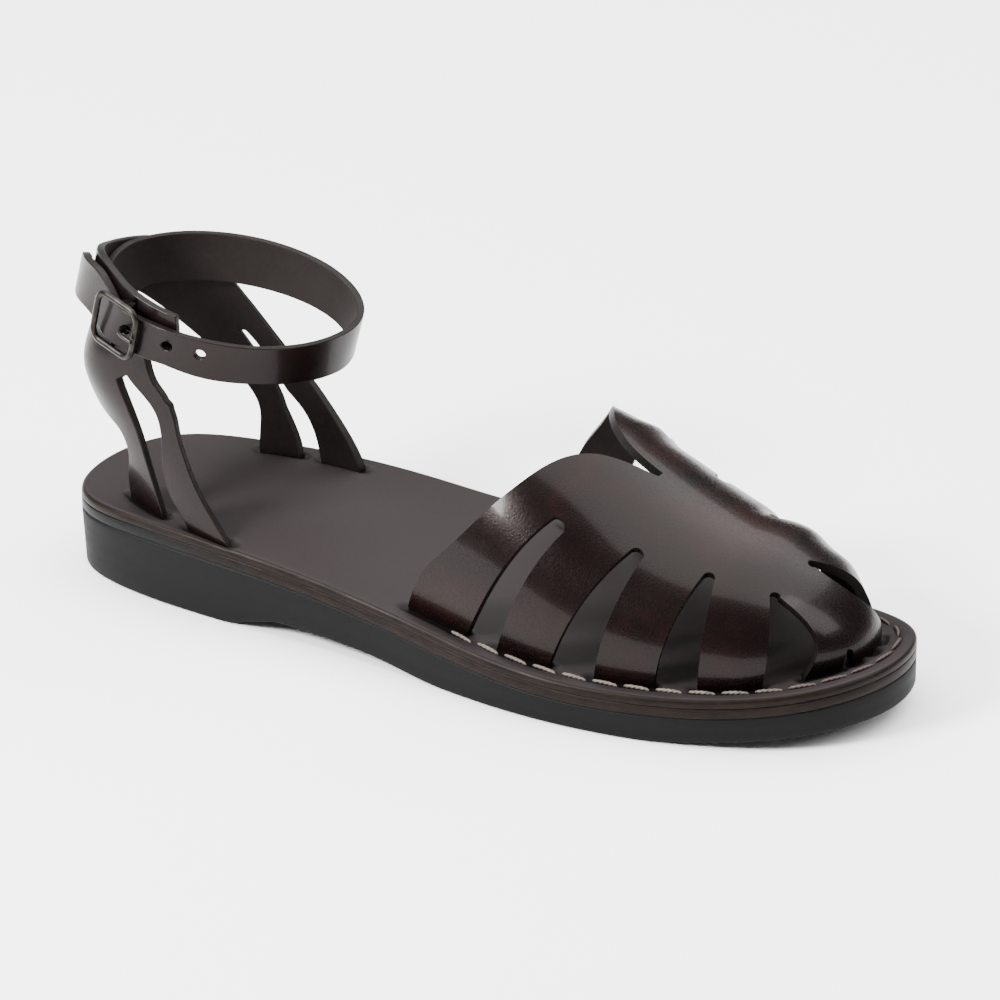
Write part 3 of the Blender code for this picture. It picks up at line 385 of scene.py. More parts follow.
def eased(knots, values):
    """Smooth curve that never overshoots: Hermite pieces whose slopes are harmonic means."""
    gaps = np.diff(knots)
    slopes = np.diff(values) / gaps
    ends = np.zeros(len(knots))
    product = slopes[:-1] * slopes[1:]
    total = slopes[:-1] + slopes[1:]
    ends[1:-1] = np.where(product > 0, 2 * product / np.where(total == 0, 1, total), 0)
    ends[0], ends[-1] = slopes[0], slopes[-1]

    def value(at):
        at = np.clip(at, knots[0], knots[-1])
        i = np.clip(np.searchsorted(knots, at, side="right") - 1, 0, len(knots) - 2)
        t = (at - knots[i]) / gaps[i]
        rise = values[i] * (2 * t ** 3 - 3 * t ** 2 + 1) + values[i + 1] * (3 * t ** 2 - 2 * t ** 3)
        return rise + gaps[i] * (ends[i] * (t ** 3 - 2 * t ** 2 + t) + ends[i + 1] * (t ** 3 - t ** 2))

    return value


def ramp(at, start, end):
    """0 before start, 1 after end, and a smooth S between."""
    t = np.clip((at - start) / (end - start), 0, 1)
    return t * t * (3 - 2 * t)


FOOTBED_CURVE = spline(LEVELS[:, 0], LEVELS[:, 1])
ARCH_CURVE = eased(LEVELS[:, 0], LEVELS[:, 2])
SPRING_CURVE = eased(LEVELS[:, 0], LEVELS[:, 3])
CREST_CURVE = spline(CREST[:, 0], CREST[:, 1])
STRAP_CURVE = spline(-STRAP_LINE[:, 0], STRAP_LINE[:, 1])
FORM_CURVES = [eased(ANKLE_FORM[:, 0], ANKLE_FORM[:, i]) for i in range(1, ANKLE_FORM.shape[1])]


def share_along(x):
    """Place along the shoe as a share of its length."""
    return (x - HEEL_BACK) / SHOE_LENGTH


def footbed_height(x):
    """Height of the insole's top along the shoe."""
    return FOOTBED_HEIGHT * FOOTBED_CURVE(np.clip(share_along(x), 0, 1))


def tread_height(x):
    """Height of the outsole's underside: flat at heel and ball, raised at arch and toe."""
    along = np.clip(share_along(x), 0, 1)
    return ARCH_RISE * ARCH_CURVE(along) + TOE_SPRING * SPRING_CURVE(along)


def sole_outline(count=2880):
    """Dense points of the outline and their outward directions, turned from the tangent."""
    curve = smooth_curve(OUTLINE * [SHOE_LENGTH, BALL_WIDTH], closed=True)
    points = curve(np.linspace(0, 1, count, endpoint=False)) + [HEEL_BACK, 0]
    step = np.roll(points, -1, axis=0) - np.roll(points, 1, axis=0)
    outward = np.stack([step[:, 1], -step[:, 0]], axis=1)
    return points, outward / np.linalg.norm(outward, axis=1)[:, None]


def two_sides(ring):
    """Outer and inner side of a closed outline, each from the heel's end to the toe's."""
    ring = np.roll(ring, -ring[:, 0].argmin(), axis=0)
    turn = ring[:, 0].argmax()
    return ring[: turn + 1], np.vstack([ring[turn:], ring[:1]])[::-1]


def ladder(ring, stations):
    """Both sides of an outline on shared stations, which crowd together towards the ends."""
    outer, inner = two_sides(ring)
    low, high = outer[0, 0], outer[-1, 0]
    x = low + (high - low) * (1 - np.cos(np.linspace(0, math.pi, stations + 1))) / 2
    left = np.interp(x, outer[:, 0], outer[:, 1])
    right = np.interp(x, inner[:, 0], inner[:, 1])
    left[[0, -1]] = right[[0, -1]] = outer[[0, -1], 1]
    return x, left, right


def tuck_sides():
    """Line where the vamp goes into the footbed, as its outer and inner side."""
    points, outward = sole_outline(1440)
    toe = ramp(share_along(points[:, 0]), *TOE_INSET_CHANGE)
    inset = TUCK_INSET + (TOE_INSET - TUCK_INSET) * toe
    return two_sides(points - outward * inset[:, None])


TUCK_OUTER, TUCK_INNER = tuck_sides()
VAMP_START = HEEL_BACK + VAMP_REAR * SHOE_LENGTH
VAMP_TIP = TUCK_OUTER[-1, 0]


def station_of(along):
    """Station of the vamp's pattern: 0 at its rear, 1 at the tip of the toe."""
    share = (HEEL_BACK + np.asarray(along) * SHOE_LENGTH - VAMP_START) / (VAMP_TIP - VAMP_START)
    return np.arcsin(np.clip(share, 0, 1)) * 2 / math.pi


def last_surface(station, girth):
    """Grain side on the last: in section the leather follows a rounded arch whose height above
    the footbed is the crest's, times a quarter ellipse over the toe, and whose feet stand on the
    tuck line at girth -1 and 1."""
    x = VAMP_START + (VAMP_TIP - VAMP_START) * np.sin(station * math.pi / 2)
    along = share_along(x)
    dome = HEEL_BACK + TOE_DOME_START * SHOE_LENGTH
    closing = np.sqrt(np.clip(1 - np.clip((x - dome) / (VAMP_TIP - dome), 0, 1) ** 2, 0, 1))
    height = INSTEP_HEIGHT * CREST_CURVE(along) * closing
    outer = np.interp(x, TUCK_OUTER[:, 0], TUCK_OUTER[:, 1])
    inner = np.interp(x, TUCK_INNER[:, 0], TUCK_INNER[:, 1])
    crest = (outer + inner) / 2 + CREST_SHIFT * closing
    angle = girth * TUCK_ANGLE
    sine, cosine = np.sin(angle), np.cos(angle)
    reach = np.where(girth < 0, crest - outer, inner - crest)
    bow = np.sign(sine) * (np.abs(sine) / math.sin(TUCK_ANGLE)) ** SECTION_ROUNDNESS
    rise = (cosine - math.cos(TUCK_ANGLE)) / (1 - math.cos(TUCK_ANGLE))
    below = np.clip(np.abs(girth) - 1, 0, None) / FOOT_TUCK * TUCK_DEPTH
    z = footbed_height(x) + FIT_GAP + height * np.maximum(rise, 0) - below
    return np.stack([x, crest + reach * bow, z], axis=-1)


def last_normal(station, girth):
    """Outward normal of the last, from central differences."""
    step = 0.004
    s = np.clip(station, step, 0.97)
    g = np.clip(girth, -0.98, 0.98)
    across = last_surface(s + step, g) - last_surface(s - step, g)
    along = last_surface(s, g + step) - last_surface(s, g - step)
    normal = np.cross(across, along)
    return normal / np.linalg.norm(normal, axis=-1)[..., None]


def moulded(station, girth):
    """Height of the leather's relief: a sum of round swellings, each a bell in both directions."""
    x = VAMP_START + (VAMP_TIP - VAMP_START) * np.sin(station * math.pi / 2)
    along, girth = share_along(x)[..., None], girth[..., None]
    bells = ((along - RELIEF[:, 0]) / RELIEF[:, 2]) ** 2 + ((girth - RELIEF[:, 1]) / RELIEF[:, 3]) ** 2
    return RELIEF_HEIGHT * (RELIEF[:, 4] * np.exp(-bells)).sum(axis=-1)


def ankle_form(turn, rise, stand_off):
    """Place on the heel and ankle form: an ellipse of four unequal quarters at each height, with
    a squarer outer rear corner, grown by the stand-off."""
    angle = np.radians(turn)
    back, front, outer, inner, corner, taper = [curve(rise) for curve in FORM_CURVES]
    back = HEEL_BACK + back * SHOE_LENGTH - stand_off
    front = HEEL_BACK + front * SHOE_LENGTH + stand_off
    outer = outer * BALL_WIDTH - stand_off
    inner = inner * BALL_WIDTH + stand_off
    centre = HEEL_BACK + HEEL_REACH
    cosine, sine = np.cos(angle), np.sin(angle)
    square = np.where((cosine < 0) & (sine < 0), corner, 1.0)
    reach = np.where(cosine < 0, centre - back, front - centre)
    x = centre + reach * np.sign(cosine) * np.abs(cosine) ** square
    widening = 1 + taper * (x - centre) / HEEL_REACH
    y = (outer + inner) / 2 + (inner - outer) / 2 * np.sign(sine) * np.abs(sine) ** square * widening
    base = footbed_height(x) + FIT_GAP
    return np.stack([x, y, base + rise * (STRAP_HEIGHT - base)], axis=-1)


def strap_middle(turn):
    """Rise of the ankle strap's middle line."""
    return STRAP_CURVE(-np.asarray(turn, float))


def strap_half_width(turn):
    """Half the strap's width as a rise, wide at its root and narrow at its tail."""
    share = ramp(turn, *STRAP_TAPER)
    width = STRAP_ROOT_WIDTH + (STRAP_TIP_WIDTH - STRAP_ROOT_WIDTH) * share
    return width / 2 / SPAN


def layer(number, thickness):
    """Distance of a layer of strap leather from the form."""
    return number * (thickness + FIT_GAP)


def degree_step(thickness):
    """Level step over the straps' outside, for one degree of turn at the buckle."""
    turns = BUCKLE_TURN + np.array([8.0, -8.0])
    ends = ankle_form(turns, np.full(2, BUCKLE_RISE), layer(3, thickness))
    return (ends[0] - ends[1]) * np.array([1, 1, 0]) / 16


def bar_turn(rise, thickness):
    """Turn of the buckle's centre bar at a rise: it lies square to the buckle's slope."""
    slant = -BUCKLE_SLOPE * (SPAN / np.linalg.norm(degree_step(thickness))) ** 2
    return BUCKLE_TURN + slant * (rise - BUCKLE_RISE)


def long_strap_stand_off(turn, rise, thickness, bar):
    """Stand-off of the long strap: first layer at the heel, third under the buckle, with a rise
    over the centre bar, a lean outwards in front and a tail that stands off."""
    lift = ramp(turn, *LAYER_CHANGE)
    near_bar = np.exp(-((turn - bar_turn(rise, thickness)) / BAR_REACH) ** 2)
    tail = TAIL_STAND_OFF * ramp(turn, *TAIL_LIFT)
    window = ramp(turn, *LEAN_GROWS) * (1 - ramp(turn, *LEAN_FADES))
    middle = strap_middle(np.maximum(turn, TAIL_TURN))
    lean = (rise - middle) * SPAN * math.tan(STRAP_LEAN) * window
    return layer(2, thickness) * lift + bar * BAR_LIFT * near_bar + tail + lean


def evenly(points, step):
    """Points along a line of points, about a step apart, with both ends kept."""
    points = np.asarray(points, float)
    length = np.concatenate([[0.0], np.cumsum(np.linalg.norm(np.diff(points, axis=0), axis=1))])
    at = np.linspace(0, length[-1], max(1, round(length[-1] / step)) + 1)
    return np.stack([np.interp(at, length, column) for column in points.T], axis=1)


def edge_line(table, step):
    """Smooth edge through a table's rows, in evenly spaced points."""
    return evenly(smooth_curve(table)(np.linspace(0, 1, 400)), step)


def bend(start, middle, end, step):
    """Quadratic curve from start to end, pulled towards middle."""
    t = np.linspace(0, 1, 80)[:, None]
    return evenly((1 - t) ** 2 * start + 2 * t * (1 - t) * middle + t ** 2 * end, step)


def join(lines):
    """One closed outline from lines that follow each other, without doubled points."""
    points = np.vstack(lines)
    return points[np.linalg.norm(points - np.roll(points, 1, axis=0), axis=1) > 1e-6]


def vamp_flat(along, girth):
    """Pattern coordinates of a place on the vamp."""
    return np.stack([station_of(along) * PATTERN_LENGTH, np.asarray(girth) * PATTERN_GIRTH], axis=-1)


def slot_line(slot, step):
    """One slot of the vamp, from its rear foot over its round tip to its front foot."""
    side, rear_at, rear_pull, tip_at, front_pull, front_at = slot
    foot_girth = side * (1 + FOOT_TUCK)
    rear = vamp_flat(rear_at, foot_girth)
    front = vamp_flat(front_at, foot_girth)
    tip = vamp_flat(tip_at[0], side * tip_at[1])
    rear_bend = vamp_flat(rear_pull[0], side * rear_pull[1])
    front_bend = vamp_flat(front_pull[0], side * front_pull[1])
    radius = min(SLOT_TIP, np.linalg.norm(front - rear) * 0.4)
    axis = tip - (rear + front) / 2
    axis /= np.linalg.norm(axis)
    cross = np.array([axis[1], -axis[0]])
    cross *= np.sign(cross @ (front - rear))
    centre = tip - axis * radius
    angle = np.linspace(math.pi, 0, 11)[1:-1, None]
    cap = centre + radius * (np.cos(angle) * cross + np.sin(angle) * axis)
    return np.vstack([
        bend(rear, rear_bend, centre - cross * radius, step),
        cap,
        bend(centre + cross * radius, front_bend, front, step),
    ])


def vamp_outline(step):
    """Closed outline of the vamp's pattern with its slots and the V of its throat."""
    outer = sorted([s for s in SLOTS if s[0] < 0], key=lambda s: s[1])
    inner = sorted([s for s in SLOTS if s[0] > 0], key=lambda s: -s[1])
    foot = 1 + FOOT_TUCK
    here = vamp_flat(THROAT_OUTER[0, 0], -foot)
    lines = []
    for slot in outer:
        line = slot_line(slot, step)
        lines += [evenly([here, line[0]], step)[:-1], line]
        here = line[-1]
    tip = TOE_TIP_STATION * PATTERN_LENGTH
    side = foot * PATTERN_GIRTH
    lines += [evenly([here, (tip, -side)], step)[:-1], evenly([(tip, -side), (tip, side)], step * 2)]
    here = np.array([tip, side])
    for slot in inner:
        line = slot_line(slot, step)[::-1]
        lines += [evenly([here, line[0]], step)[:-1], line]
        here = line[-1]
    heel = vamp_flat(THROAT_INNER[-1, 0], foot)
    lines.append(evenly([here, heel], step)[:-1])
    lines.append([heel])
    lines.append(edge_line(vamp_flat(*THROAT_INNER.T), step)[::-1])
    lines.append(edge_line(vamp_flat(*THROAT_OUTER.T), step)[::-1])
    return join(lines)


def strap_flat(table):
    """Pattern coordinates of turns and rises; rows at the foot reach down into their slot."""
    table = np.array(table, float)
    table[table[:, 1] == 0, 1] = -FOOT_TUCK
    return table * [DEGREE_LENGTH, SPAN]


def outer_quarter_outline(step):
    """Outline of the outer quarter with its slot, the long strap and the strap's tail."""
    turns = np.linspace(STRAP_LINE[0, 0], TAIL_TURN, 120)
    lower = np.column_stack([turns, strap_middle(turns) - strap_half_width(turns)])
    upper = np.column_stack([turns, strap_middle(turns) + strap_half_width(turns)])
    under = np.vstack([OUTER_REAR_EDGE, lower[4:-4:6], TAIL_BOTTOM[::-1]])
    over = np.vstack([OUTER_FRONT_EDGE, upper[4:-4:6], TAIL_TOP])
    slot = np.vstack([edge_line(strap_flat(OUTER_SLOT_REAR), step),
                      edge_line(strap_flat(OUTER_SLOT_FRONT), step)])
    return join([edge_line(strap_flat(under), step), edge_line(strap_flat(over), step)[::-1], slot[::-1]])


def inner_quarter_outline(step):
    """Outline of the inner quarter with its slot and the short strap to the buckle."""
    end = evenly(strap_flat([INNER_REAR_EDGE[-1], INNER_FRONT_EDGE[-1]]), step)
    slot = np.vstack([edge_line(strap_flat(INNER_SLOT_REAR), step),
                      edge_line(strap_flat(INNER_SLOT_FRONT), step)])
    return join([edge_line(strap_flat(INNER_REAR_EDGE), step), end[1:-1],
                 edge_line(strap_flat(INNER_FRONT_EDGE), step)[::-1], slot[::-1]])


def inside(points, ring):
    """Which points lie inside a closed outline, by the parity of crossings."""
    x, y = points[:, :1], points[:, 1:]
    ax, ay = ring.T
    bx, by = np.roll(ring, -1, axis=0).T
    crosses = (ay > y) != (by > y)
    return (crosses & (x < (bx - ax) * (y - ay) / np.where(by == ay, 1, by - ay) + ax)).sum(axis=1) % 2 == 1


def distance(points, line, closed=True, share=400):
    """Least distance of points from a line, worked through in shares to save memory."""
    a = line if closed else line[:-1]
    b = np.roll(line, -1, axis=0) if closed else line[1:]
    run = b - a
    square = np.maximum((run ** 2).sum(axis=-1), 1e-18)
    found = []
    for part in np.array_split(points, max(1, len(points) // share)):
        t = np.clip(((part[:, None] - a) * run).sum(axis=-1) / square, 0, 1)
        found.append(np.linalg.norm(part[:, None] - a - t[..., None] * run, axis=-1).min(axis=1))
    return np.concatenate(found)


def cut_pattern(outline, holes, step):
    """Triangles of a flat pattern: outline, holes and an even net of points within."""
    rings = [outline, *holes]
    low, high = outline.min(axis=0), outline.max(axis=0)
    x, y = np.meshgrid(np.arange(low[0], high[0], step), np.arange(low[1], high[1], step * NET_ROWS))
    x[1::2] += step / 2
    net = np.column_stack([x.ravel(), y.ravel()])
    net = net[inside(net, outline)]
    for ring in rings:
        net = net[distance(net, ring) > step * 0.5]
    for hole in holes:
        net = net[~inside(net, hole)]
    firsts = np.cumsum([0] + [len(ring) for ring in rings])
    edges = [np.column_stack([np.arange(len(r)), (np.arange(len(r)) + 1) % len(r)]) + f
             for r, f in zip(rings, firsts)]
    flat, _, faces, _, _, _ = delaunay_2d_cdt(
        list(map(Vector, np.vstack([*rings, net]))), np.vstack(edges).tolist(), [], 0, 1e-7)
    flat = np.array(list(map(tuple, flat)))
    faces = np.array(faces)
    middle = flat[faces].mean(axis=1)
    kept = inside(middle, outline)
    for hole in holes:
        kept &= ~inside(middle, hole)
    return flat, faces[kept]


def mesh_object(name, points, face_sets, looks=None, uv=None, finishes=()):
    """Object from whole arrays of points and of faces with three or four corners."""
    mesh = bpy.data.meshes.new(name)
    mesh.vertices.add(len(points))
    mesh.vertices.foreach_set("co", np.asarray(points, np.float32).ravel())
    corners = np.concatenate([f.ravel() for f in face_sets]).astype(np.int32)
    sizes = np.concatenate([np.full(len(f), f.shape[1]) for f in face_sets])
    starts = np.concatenate([[0], np.cumsum(sizes)[:-1]]).astype(np.int32)
    mesh.loops.add(len(corners))
    mesh.loops.foreach_set("vertex_index", corners)
    mesh.polygons.add(len(sizes))
    mesh.polygons.foreach_set("loop_start", starts)
    if looks is not None:
        mesh.polygons.foreach_set("material_index", np.concatenate(looks).astype(np.int32))
    mesh.polygons.foreach_set("use_smooth", np.ones(len(sizes), bool))
    if uv is not None:
        layer_uv = mesh.uv_layers.new(name="surface")
        layer_uv.data.foreach_set("uv", np.asarray(uv, np.float32)[corners].ravel())
    mesh.update(calc_edges=True)
    mesh.validate()
    for finish in finishes:
        mesh.materials.append(finish)
    piece = bpy.data.objects.new(name, mesh)
    bpy.context.scene.collection.objects.link(piece)
    return piece


def numbered(mesh_piece, name, values):
    """Stores one number per point for a material to read."""
    attribute = mesh_piece.data.attributes.new(name, "FLOAT", "POINT")
    attribute.data.foreach_set("value", np.asarray(values, np.float32))


def grid_faces(rows, columns, wrap_rows=False, wrap_columns=False):
    """Four-cornered faces of a grid of points, closed round where asked."""
    r = np.arange(rows if wrap_rows else rows - 1)[:, None]
    c = np.arange(columns if wrap_columns else columns - 1)[None]
    r2, c2 = (r + 1) % rows, (c + 1) % columns
    corners = [r * columns + c, r * columns + c2, r2 * columns + c2, r2 * columns + c]
    return np.stack(np.broadcast_arrays(*corners), axis=-1).reshape(-1, 4)


def tube_faces(rows, sides, closed):
    """Faces of a tube, with a cap on each end unless it closes on itself."""
    sets = [grid_faces(rows, sides, wrap_rows=closed, wrap_columns=True)]
    if not closed:
        sets += [np.arange(sides)[None], (np.arange(sides) + (rows - 1) * sides)[None, ::-1]]
    return sets


def soften(piece, width):
    """Rounds the cut edges with a bevel that keeps the faces' shading."""
    edge = piece.modifiers.new("edge", "BEVEL")
    edge.width = width
    edge.segments = 2
    edge.limit_method = "ANGLE"
    edge.angle_limit = math.radians(50.0)
    edge.harden_normals = True
    edge.use_clamp_overlap = True


def leather_piece(name, pattern, grain, flesh, finishes):
    """Grain side, flesh side and cut edge of a piece, each with its own finish."""
    flat, faces = pattern
    used = np.unique(faces)
    order = np.full(len(flat), -1)
    order[used] = np.arange(len(used))
    flat, faces = flat[used], order[faces]
    count = len(flat)
    edges = np.vstack([faces[:, [0, 1]], faces[:, [1, 2]], faces[:, [2, 0]]])
    keys = edges[:, 0].astype(np.int64) * count + edges[:, 1]
    back = edges[:, 1].astype(np.int64) * count + edges[:, 0]
    rim = edges[~np.isin(keys, back)]
    walls = np.column_stack([rim[:, 1], rim[:, 0], rim[:, 0] + count, rim[:, 1] + count])
    outer, inner = grain(flat), flesh(flat)
    sets = [faces, faces[:, ::-1] + count, walls]
    a, b, c = outer[faces[:, 0]], outer[faces[:, 1]], outer[faces[:, 2]]
    facing = (np.cross(b - a, c - a) * (outer[faces].mean(axis=1) - inner[faces].mean(axis=1))).sum()
    if facing < 0:
        sets = [f[:, ::-1] for f in sets]
    looks = [np.full(len(f), i) for i, f in enumerate(sets)]
    uv = np.vstack([flat, flat])
    return mesh_object(name, np.vstack([outer, inner]), sets, looks, uv, finishes)


def dress(piece, slot_name, *nodes):
    """A finished piece rides on the body and stands for its solids, which are hidden. Its slot name is not
    used.
    """
    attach(piece, "root")
    if nodes:
        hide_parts(*nodes)


class Shader:
    """Small helper that builds one node material."""

    def __init__(self, name):
        self.material = bpy.data.materials.new(name)
        self.material.use_nodes = True
        self.tree = self.material.node_tree
        self.surface = self.tree.nodes["Principled BSDF"]

    def node(self, kind, inputs=None, **settings):
        """Adds a node; inputs that are sockets are linked, others are set."""
        made = self.tree.nodes.new(kind)
        for key, value in settings.items():
            setattr(made, key, value)
        for key, value in (inputs or {}).items():
            self.feed(made.inputs[key], value)
        return made

    def feed(self, socket, value):
        """Links or sets one input."""
        if isinstance(value, bpy.types.NodeSocket):
            self.tree.links.new(value, socket)
        else:
            socket.default_value = value

    def set(self, **values):
        """Feeds the surface shader; underscores stand for spaces in its socket names."""
        for key, value in values.items():
            self.feed(self.surface.inputs[key.replace("_", " ")], value)

    def place(self, source="Object"):
        """Coordinates of the object or of the piece's own surface."""
        return self.node("ShaderNodeTexCoord").outputs[source]

    def stretched(self, coordinates, scale):
        """Coordinates scaled along their own axes."""
        return self.node("ShaderNodeMapping", {"Vector": coordinates, "Scale": scale}).outputs["Vector"]

    def noise(self, coordinates, scale, detail=3.0, rough=0.5, distort=0.0):
        """Cloudy pattern from 0 to 1."""
        return self.node("ShaderNodeTexNoise", {
            "Vector": coordinates, "Scale": scale, "Detail": detail, "Roughness": rough,
            "Distortion": distort}).outputs["Fac"]

    def cells(self, coordinates, scale):
        """Pebbled pattern: distance to the nearest edge between cells."""
        made = self.node("ShaderNodeTexVoronoi", {"Vector": coordinates, "Scale": scale},
                         feature="DISTANCE_TO_EDGE")
        return made.outputs["Distance"]

    def between(self, value, low, high, to_low=0.0, to_high=1.0):
        """Moves a value from one range to another, held at its ends."""
        made = self.node("ShaderNodeMapRange", {
            "Value": value, "From Min": low, "From Max": high, "To Min": to_low, "To Max": to_high})
        return made.outputs["Result"]

    def mix(self, share, first, second):
        """Blend of two colours."""
        made = self.node("ShaderNodeMix", data_type="RGBA")
        self.feed(made.inputs[0], share)
        self.feed(made.inputs[6], first)
        self.feed(made.inputs[7], second)
        return made.outputs[2]

    def sum(self, first, second, operation="ADD"):
        """One arithmetic step."""
        return self.node("ShaderNodeMath", {0: first, 1: second}, operation=operation).outputs[0]

    def relief(self, height, strength, depth, below=None):
        """Bump from a height, on top of another bump."""
        inputs = {"Height": height, "Strength": strength, "Distance": depth}
        if below is not None:
            inputs["Normal"] = below
        return self.node("ShaderNodeBump", inputs).outputs["Normal"]


def rgba(colour, gain=1.0):
    """Colour with full alpha, made lighter or darker."""
    return (*(min(1.0, c * gain) for c in colour), 1.0)


def polished_leather(name, upper, roughness=0.25, patches=0.6):
    """Dyed and polished grain side: fine pebbles, redder clouds where the dye is thin, wax gloss."""
    s = Shader(name)
    place = s.place()
    clouds = s.noise(place, 26.0, 3.0, 0.55, 0.6)
    blots = s.noise(place, 95.0, 4.0, 0.6)
    reach = s.between(s.sum(s.sum(clouds, 0.75, "MULTIPLY"), s.sum(blots, 0.25, "MULTIPLY")),
                      0.50, 0.66, 0.0, patches)
    colour = s.mix(reach, rgba(upper.leather_colour), rgba(upper.patch_colour))
    fine = s.noise(place, 900.0, 3.0, 0.6)
    colour = s.mix(s.between(fine, 0.35, 0.75, 0.0, 0.25), colour, rgba(upper.leather_colour, 0.45))
    pebbles = s.between(s.cells(place, 1250.0), 0.0, 0.28)
    bumps = s.relief(pebbles, 0.20, 0.00010)
    bumps = s.relief(s.noise(place, 60.0, 2.0, 0.4), 0.10, 0.0010, bumps)
    s.set(Base_Color=colour, Normal=bumps, Coat_Weight=0.12, Coat_Roughness=0.12, Specular_IOR_Level=0.08,
          Specular_Tint=(1.0, 0.84, 0.80, 1.0),
          Roughness=s.between(s.sum(s.sum(blots, 0.5, "MULTIPLY"), s.sum(fine, 0.5, "MULTIPLY")),
                              0.3, 0.7, roughness - 0.04, roughness + 0.10))
    return s.material


def flesh_side(name, colour):
    """Inner side of vegetable-tanned leather: matt, with a short nap."""
    s = Shader(name)
    place = s.place()
    nap = s.noise(place, 1100.0, 4.0, 0.65, 0.4)
    clouds = s.noise(place, 60.0, 3.0, 0.5)
    tone = s.mix(s.between(clouds, 0.3, 0.7), rgba(colour, 0.82), rgba(colour, 1.2))
    tone = s.mix(s.between(nap, 0.4, 0.75, 0.0, 0.35), tone, rgba(colour, 1.7))
    s.set(Base_Color=tone, Roughness=0.78, Normal=s.relief(nap, 0.35, 0.0002), Specular_IOR_Level=0.12)
    return s.material


def cut_edge(name, colour, roughness=0.5):
    """Dyed cut edge: fibres in a thin line, dark and a little rough."""
    s = Shader(name)
    place = s.place()
    fibres = s.noise(place, 1500.0, 3.0, 0.7)
    patches = s.noise(place, 220.0, 3.0, 0.6)
    tone = s.mix(s.between(patches, 0.35, 0.7), rgba(colour, 0.6), rgba(colour, 1.35))
    s.set(Base_Color=tone, Roughness=s.between(fibres, 0.3, 0.7, roughness - 0.1, roughness + 0.15),
          Normal=s.relief(fibres, 0.4, 0.00015), Specular_IOR_Level=0.12)
    return s.material


def footbed_leather(name, colour):
    """Smooth matt footbed: fine pores, slow clouds, and painted shade that darkens the grooves of seam and
    slots.
    """
    s = Shader(name)
    place = s.place()
    clouds = s.noise(place, 18.0, 4.0, 0.55, 0.5)
    pores = s.noise(place, 1300.0, 3.0, 0.6)
    tone = s.mix(s.between(clouds, 0.3, 0.72), rgba(colour, 0.86), rgba(colour, 1.13))
    tone = s.mix(s.between(pores, 0.5, 0.8, 0.0, 0.3), tone, rgba(colour, 0.6))
    groove = s.node("ShaderNodeAttribute", attribute_name="groove").outputs["Fac"]
    # painted shade: the stored mask darkens the footbed in the seam's groove and where strips and legs go
    # into it
    tone = s.mix(groove, tone, rgba(colour, 0.16))
    bumps = s.relief(pores, 0.16, 0.00012)
    bumps = s.relief(s.noise(place, 240.0, 3.0, 0.5), 0.14, 0.0004, bumps)
    s.set(Base_Color=tone, Roughness=s.between(clouds, 0.3, 0.7, 0.46, 0.58), Normal=bumps,
          Specular_IOR_Level=0.08)
    return s.material


def burnished_rim(name, colour, heel=None):
    """Rim of stacked leather: streaks that run along the rim, with worn lighter spots. A heel
    colour takes over round the heel, where the edge dye covers the layer."""
    s = Shader(name)
    around = s.place("UV")
    streaks = s.noise(s.stretched(around, (60.0, 2600.0, 1.0)), 1.0, 4.0, 0.6, 0.2)
    blocks = s.noise(s.stretched(around, (170.0, 420.0, 1.0)), 1.0, 3.0, 0.55)
    worn = s.noise(s.stretched(around, (420.0, 1500.0, 1.0)), 1.0, 3.0, 0.7)
    tone = s.mix(s.between(blocks, 0.3, 0.7), rgba(colour, 0.55), rgba(colour, 1.35))
    tone = s.mix(s.between(streaks, 0.5, 0.72, 0.0, 0.7), tone, rgba(colour, 2.4))
    tone = s.mix(s.between(worn, 0.62, 0.78, 0.0, 0.6), tone, rgba(colour, 3.2))
    if heel is not None:
        along = s.node("ShaderNodeSeparateXYZ", {"Vector": s.place()}).outputs["X"]
        uneven = s.sum(along, s.sum(blocks, 0.02, "MULTIPLY"))
        tone = s.mix(s.between(uneven, 0.012, 0.050, 1.0, 0.0), tone, rgba(heel))
    s.set(Base_Color=tone, Roughness=s.between(streaks, 0.3, 0.7, 0.34, 0.5),
          Normal=s.relief(streaks, 0.35, 0.0002), Specular_IOR_Level=0.07)
    return s.material


def sole_rubber(name, colour):
    """Matt moulded rubber with a fine even grain and slight scuffs."""
    s = Shader(name)
    place = s.place()
    grain = s.noise(place, 1700.0, 3.0, 0.7)
    scuffs = s.noise(s.stretched(place, (1.0, 1.0, 5.0)), 40.0, 5.0, 0.65)
    tone = s.mix(s.between(scuffs, 0.35, 0.75), rgba(colour, 0.85), rgba(colour, 1.35))
    s.set(Base_Color=tone, Roughness=s.between(scuffs, 0.3, 0.7, 0.50, 0.64),
          Normal=s.relief(grain, 0.30, 0.00012), Specular_IOR_Level=0.08)
    return s.material


def waxed_thread(name, colour):
    """Waxed thread, pale on the outer side, with painted shade that turns it dark brown round the toe and on
    the inner side.
    """
    s = Shader(name)
    place = s.place()
    split = s.node("ShaderNodeSeparateXYZ", {"Vector": place})
    # painted shade: the thread darkens round the toe and along the inner side, where it lies in shade
    toe = s.between(split.outputs["X"], 0.188, 0.213)
    inner = s.between(split.outputs["Y"], -0.012, 0.006)
    painted_shade_mask = s.sum(toe, inner, "MAXIMUM")
    dirt = s.noise(place, 420.0, 3.0, 0.6)
    pale = s.mix(s.between(dirt, 0.35, 0.7), rgba(colour), rgba(colour, 0.42))
    tone = s.mix(painted_shade_mask, pale, rgba((0.022, 0.009, 0.007)))
    s.set(Base_Color=tone, Roughness=0.62, Normal=s.relief(s.noise(place, 3200.0, 2.0, 0.6), 0.4, 0.0001))
    return s.material


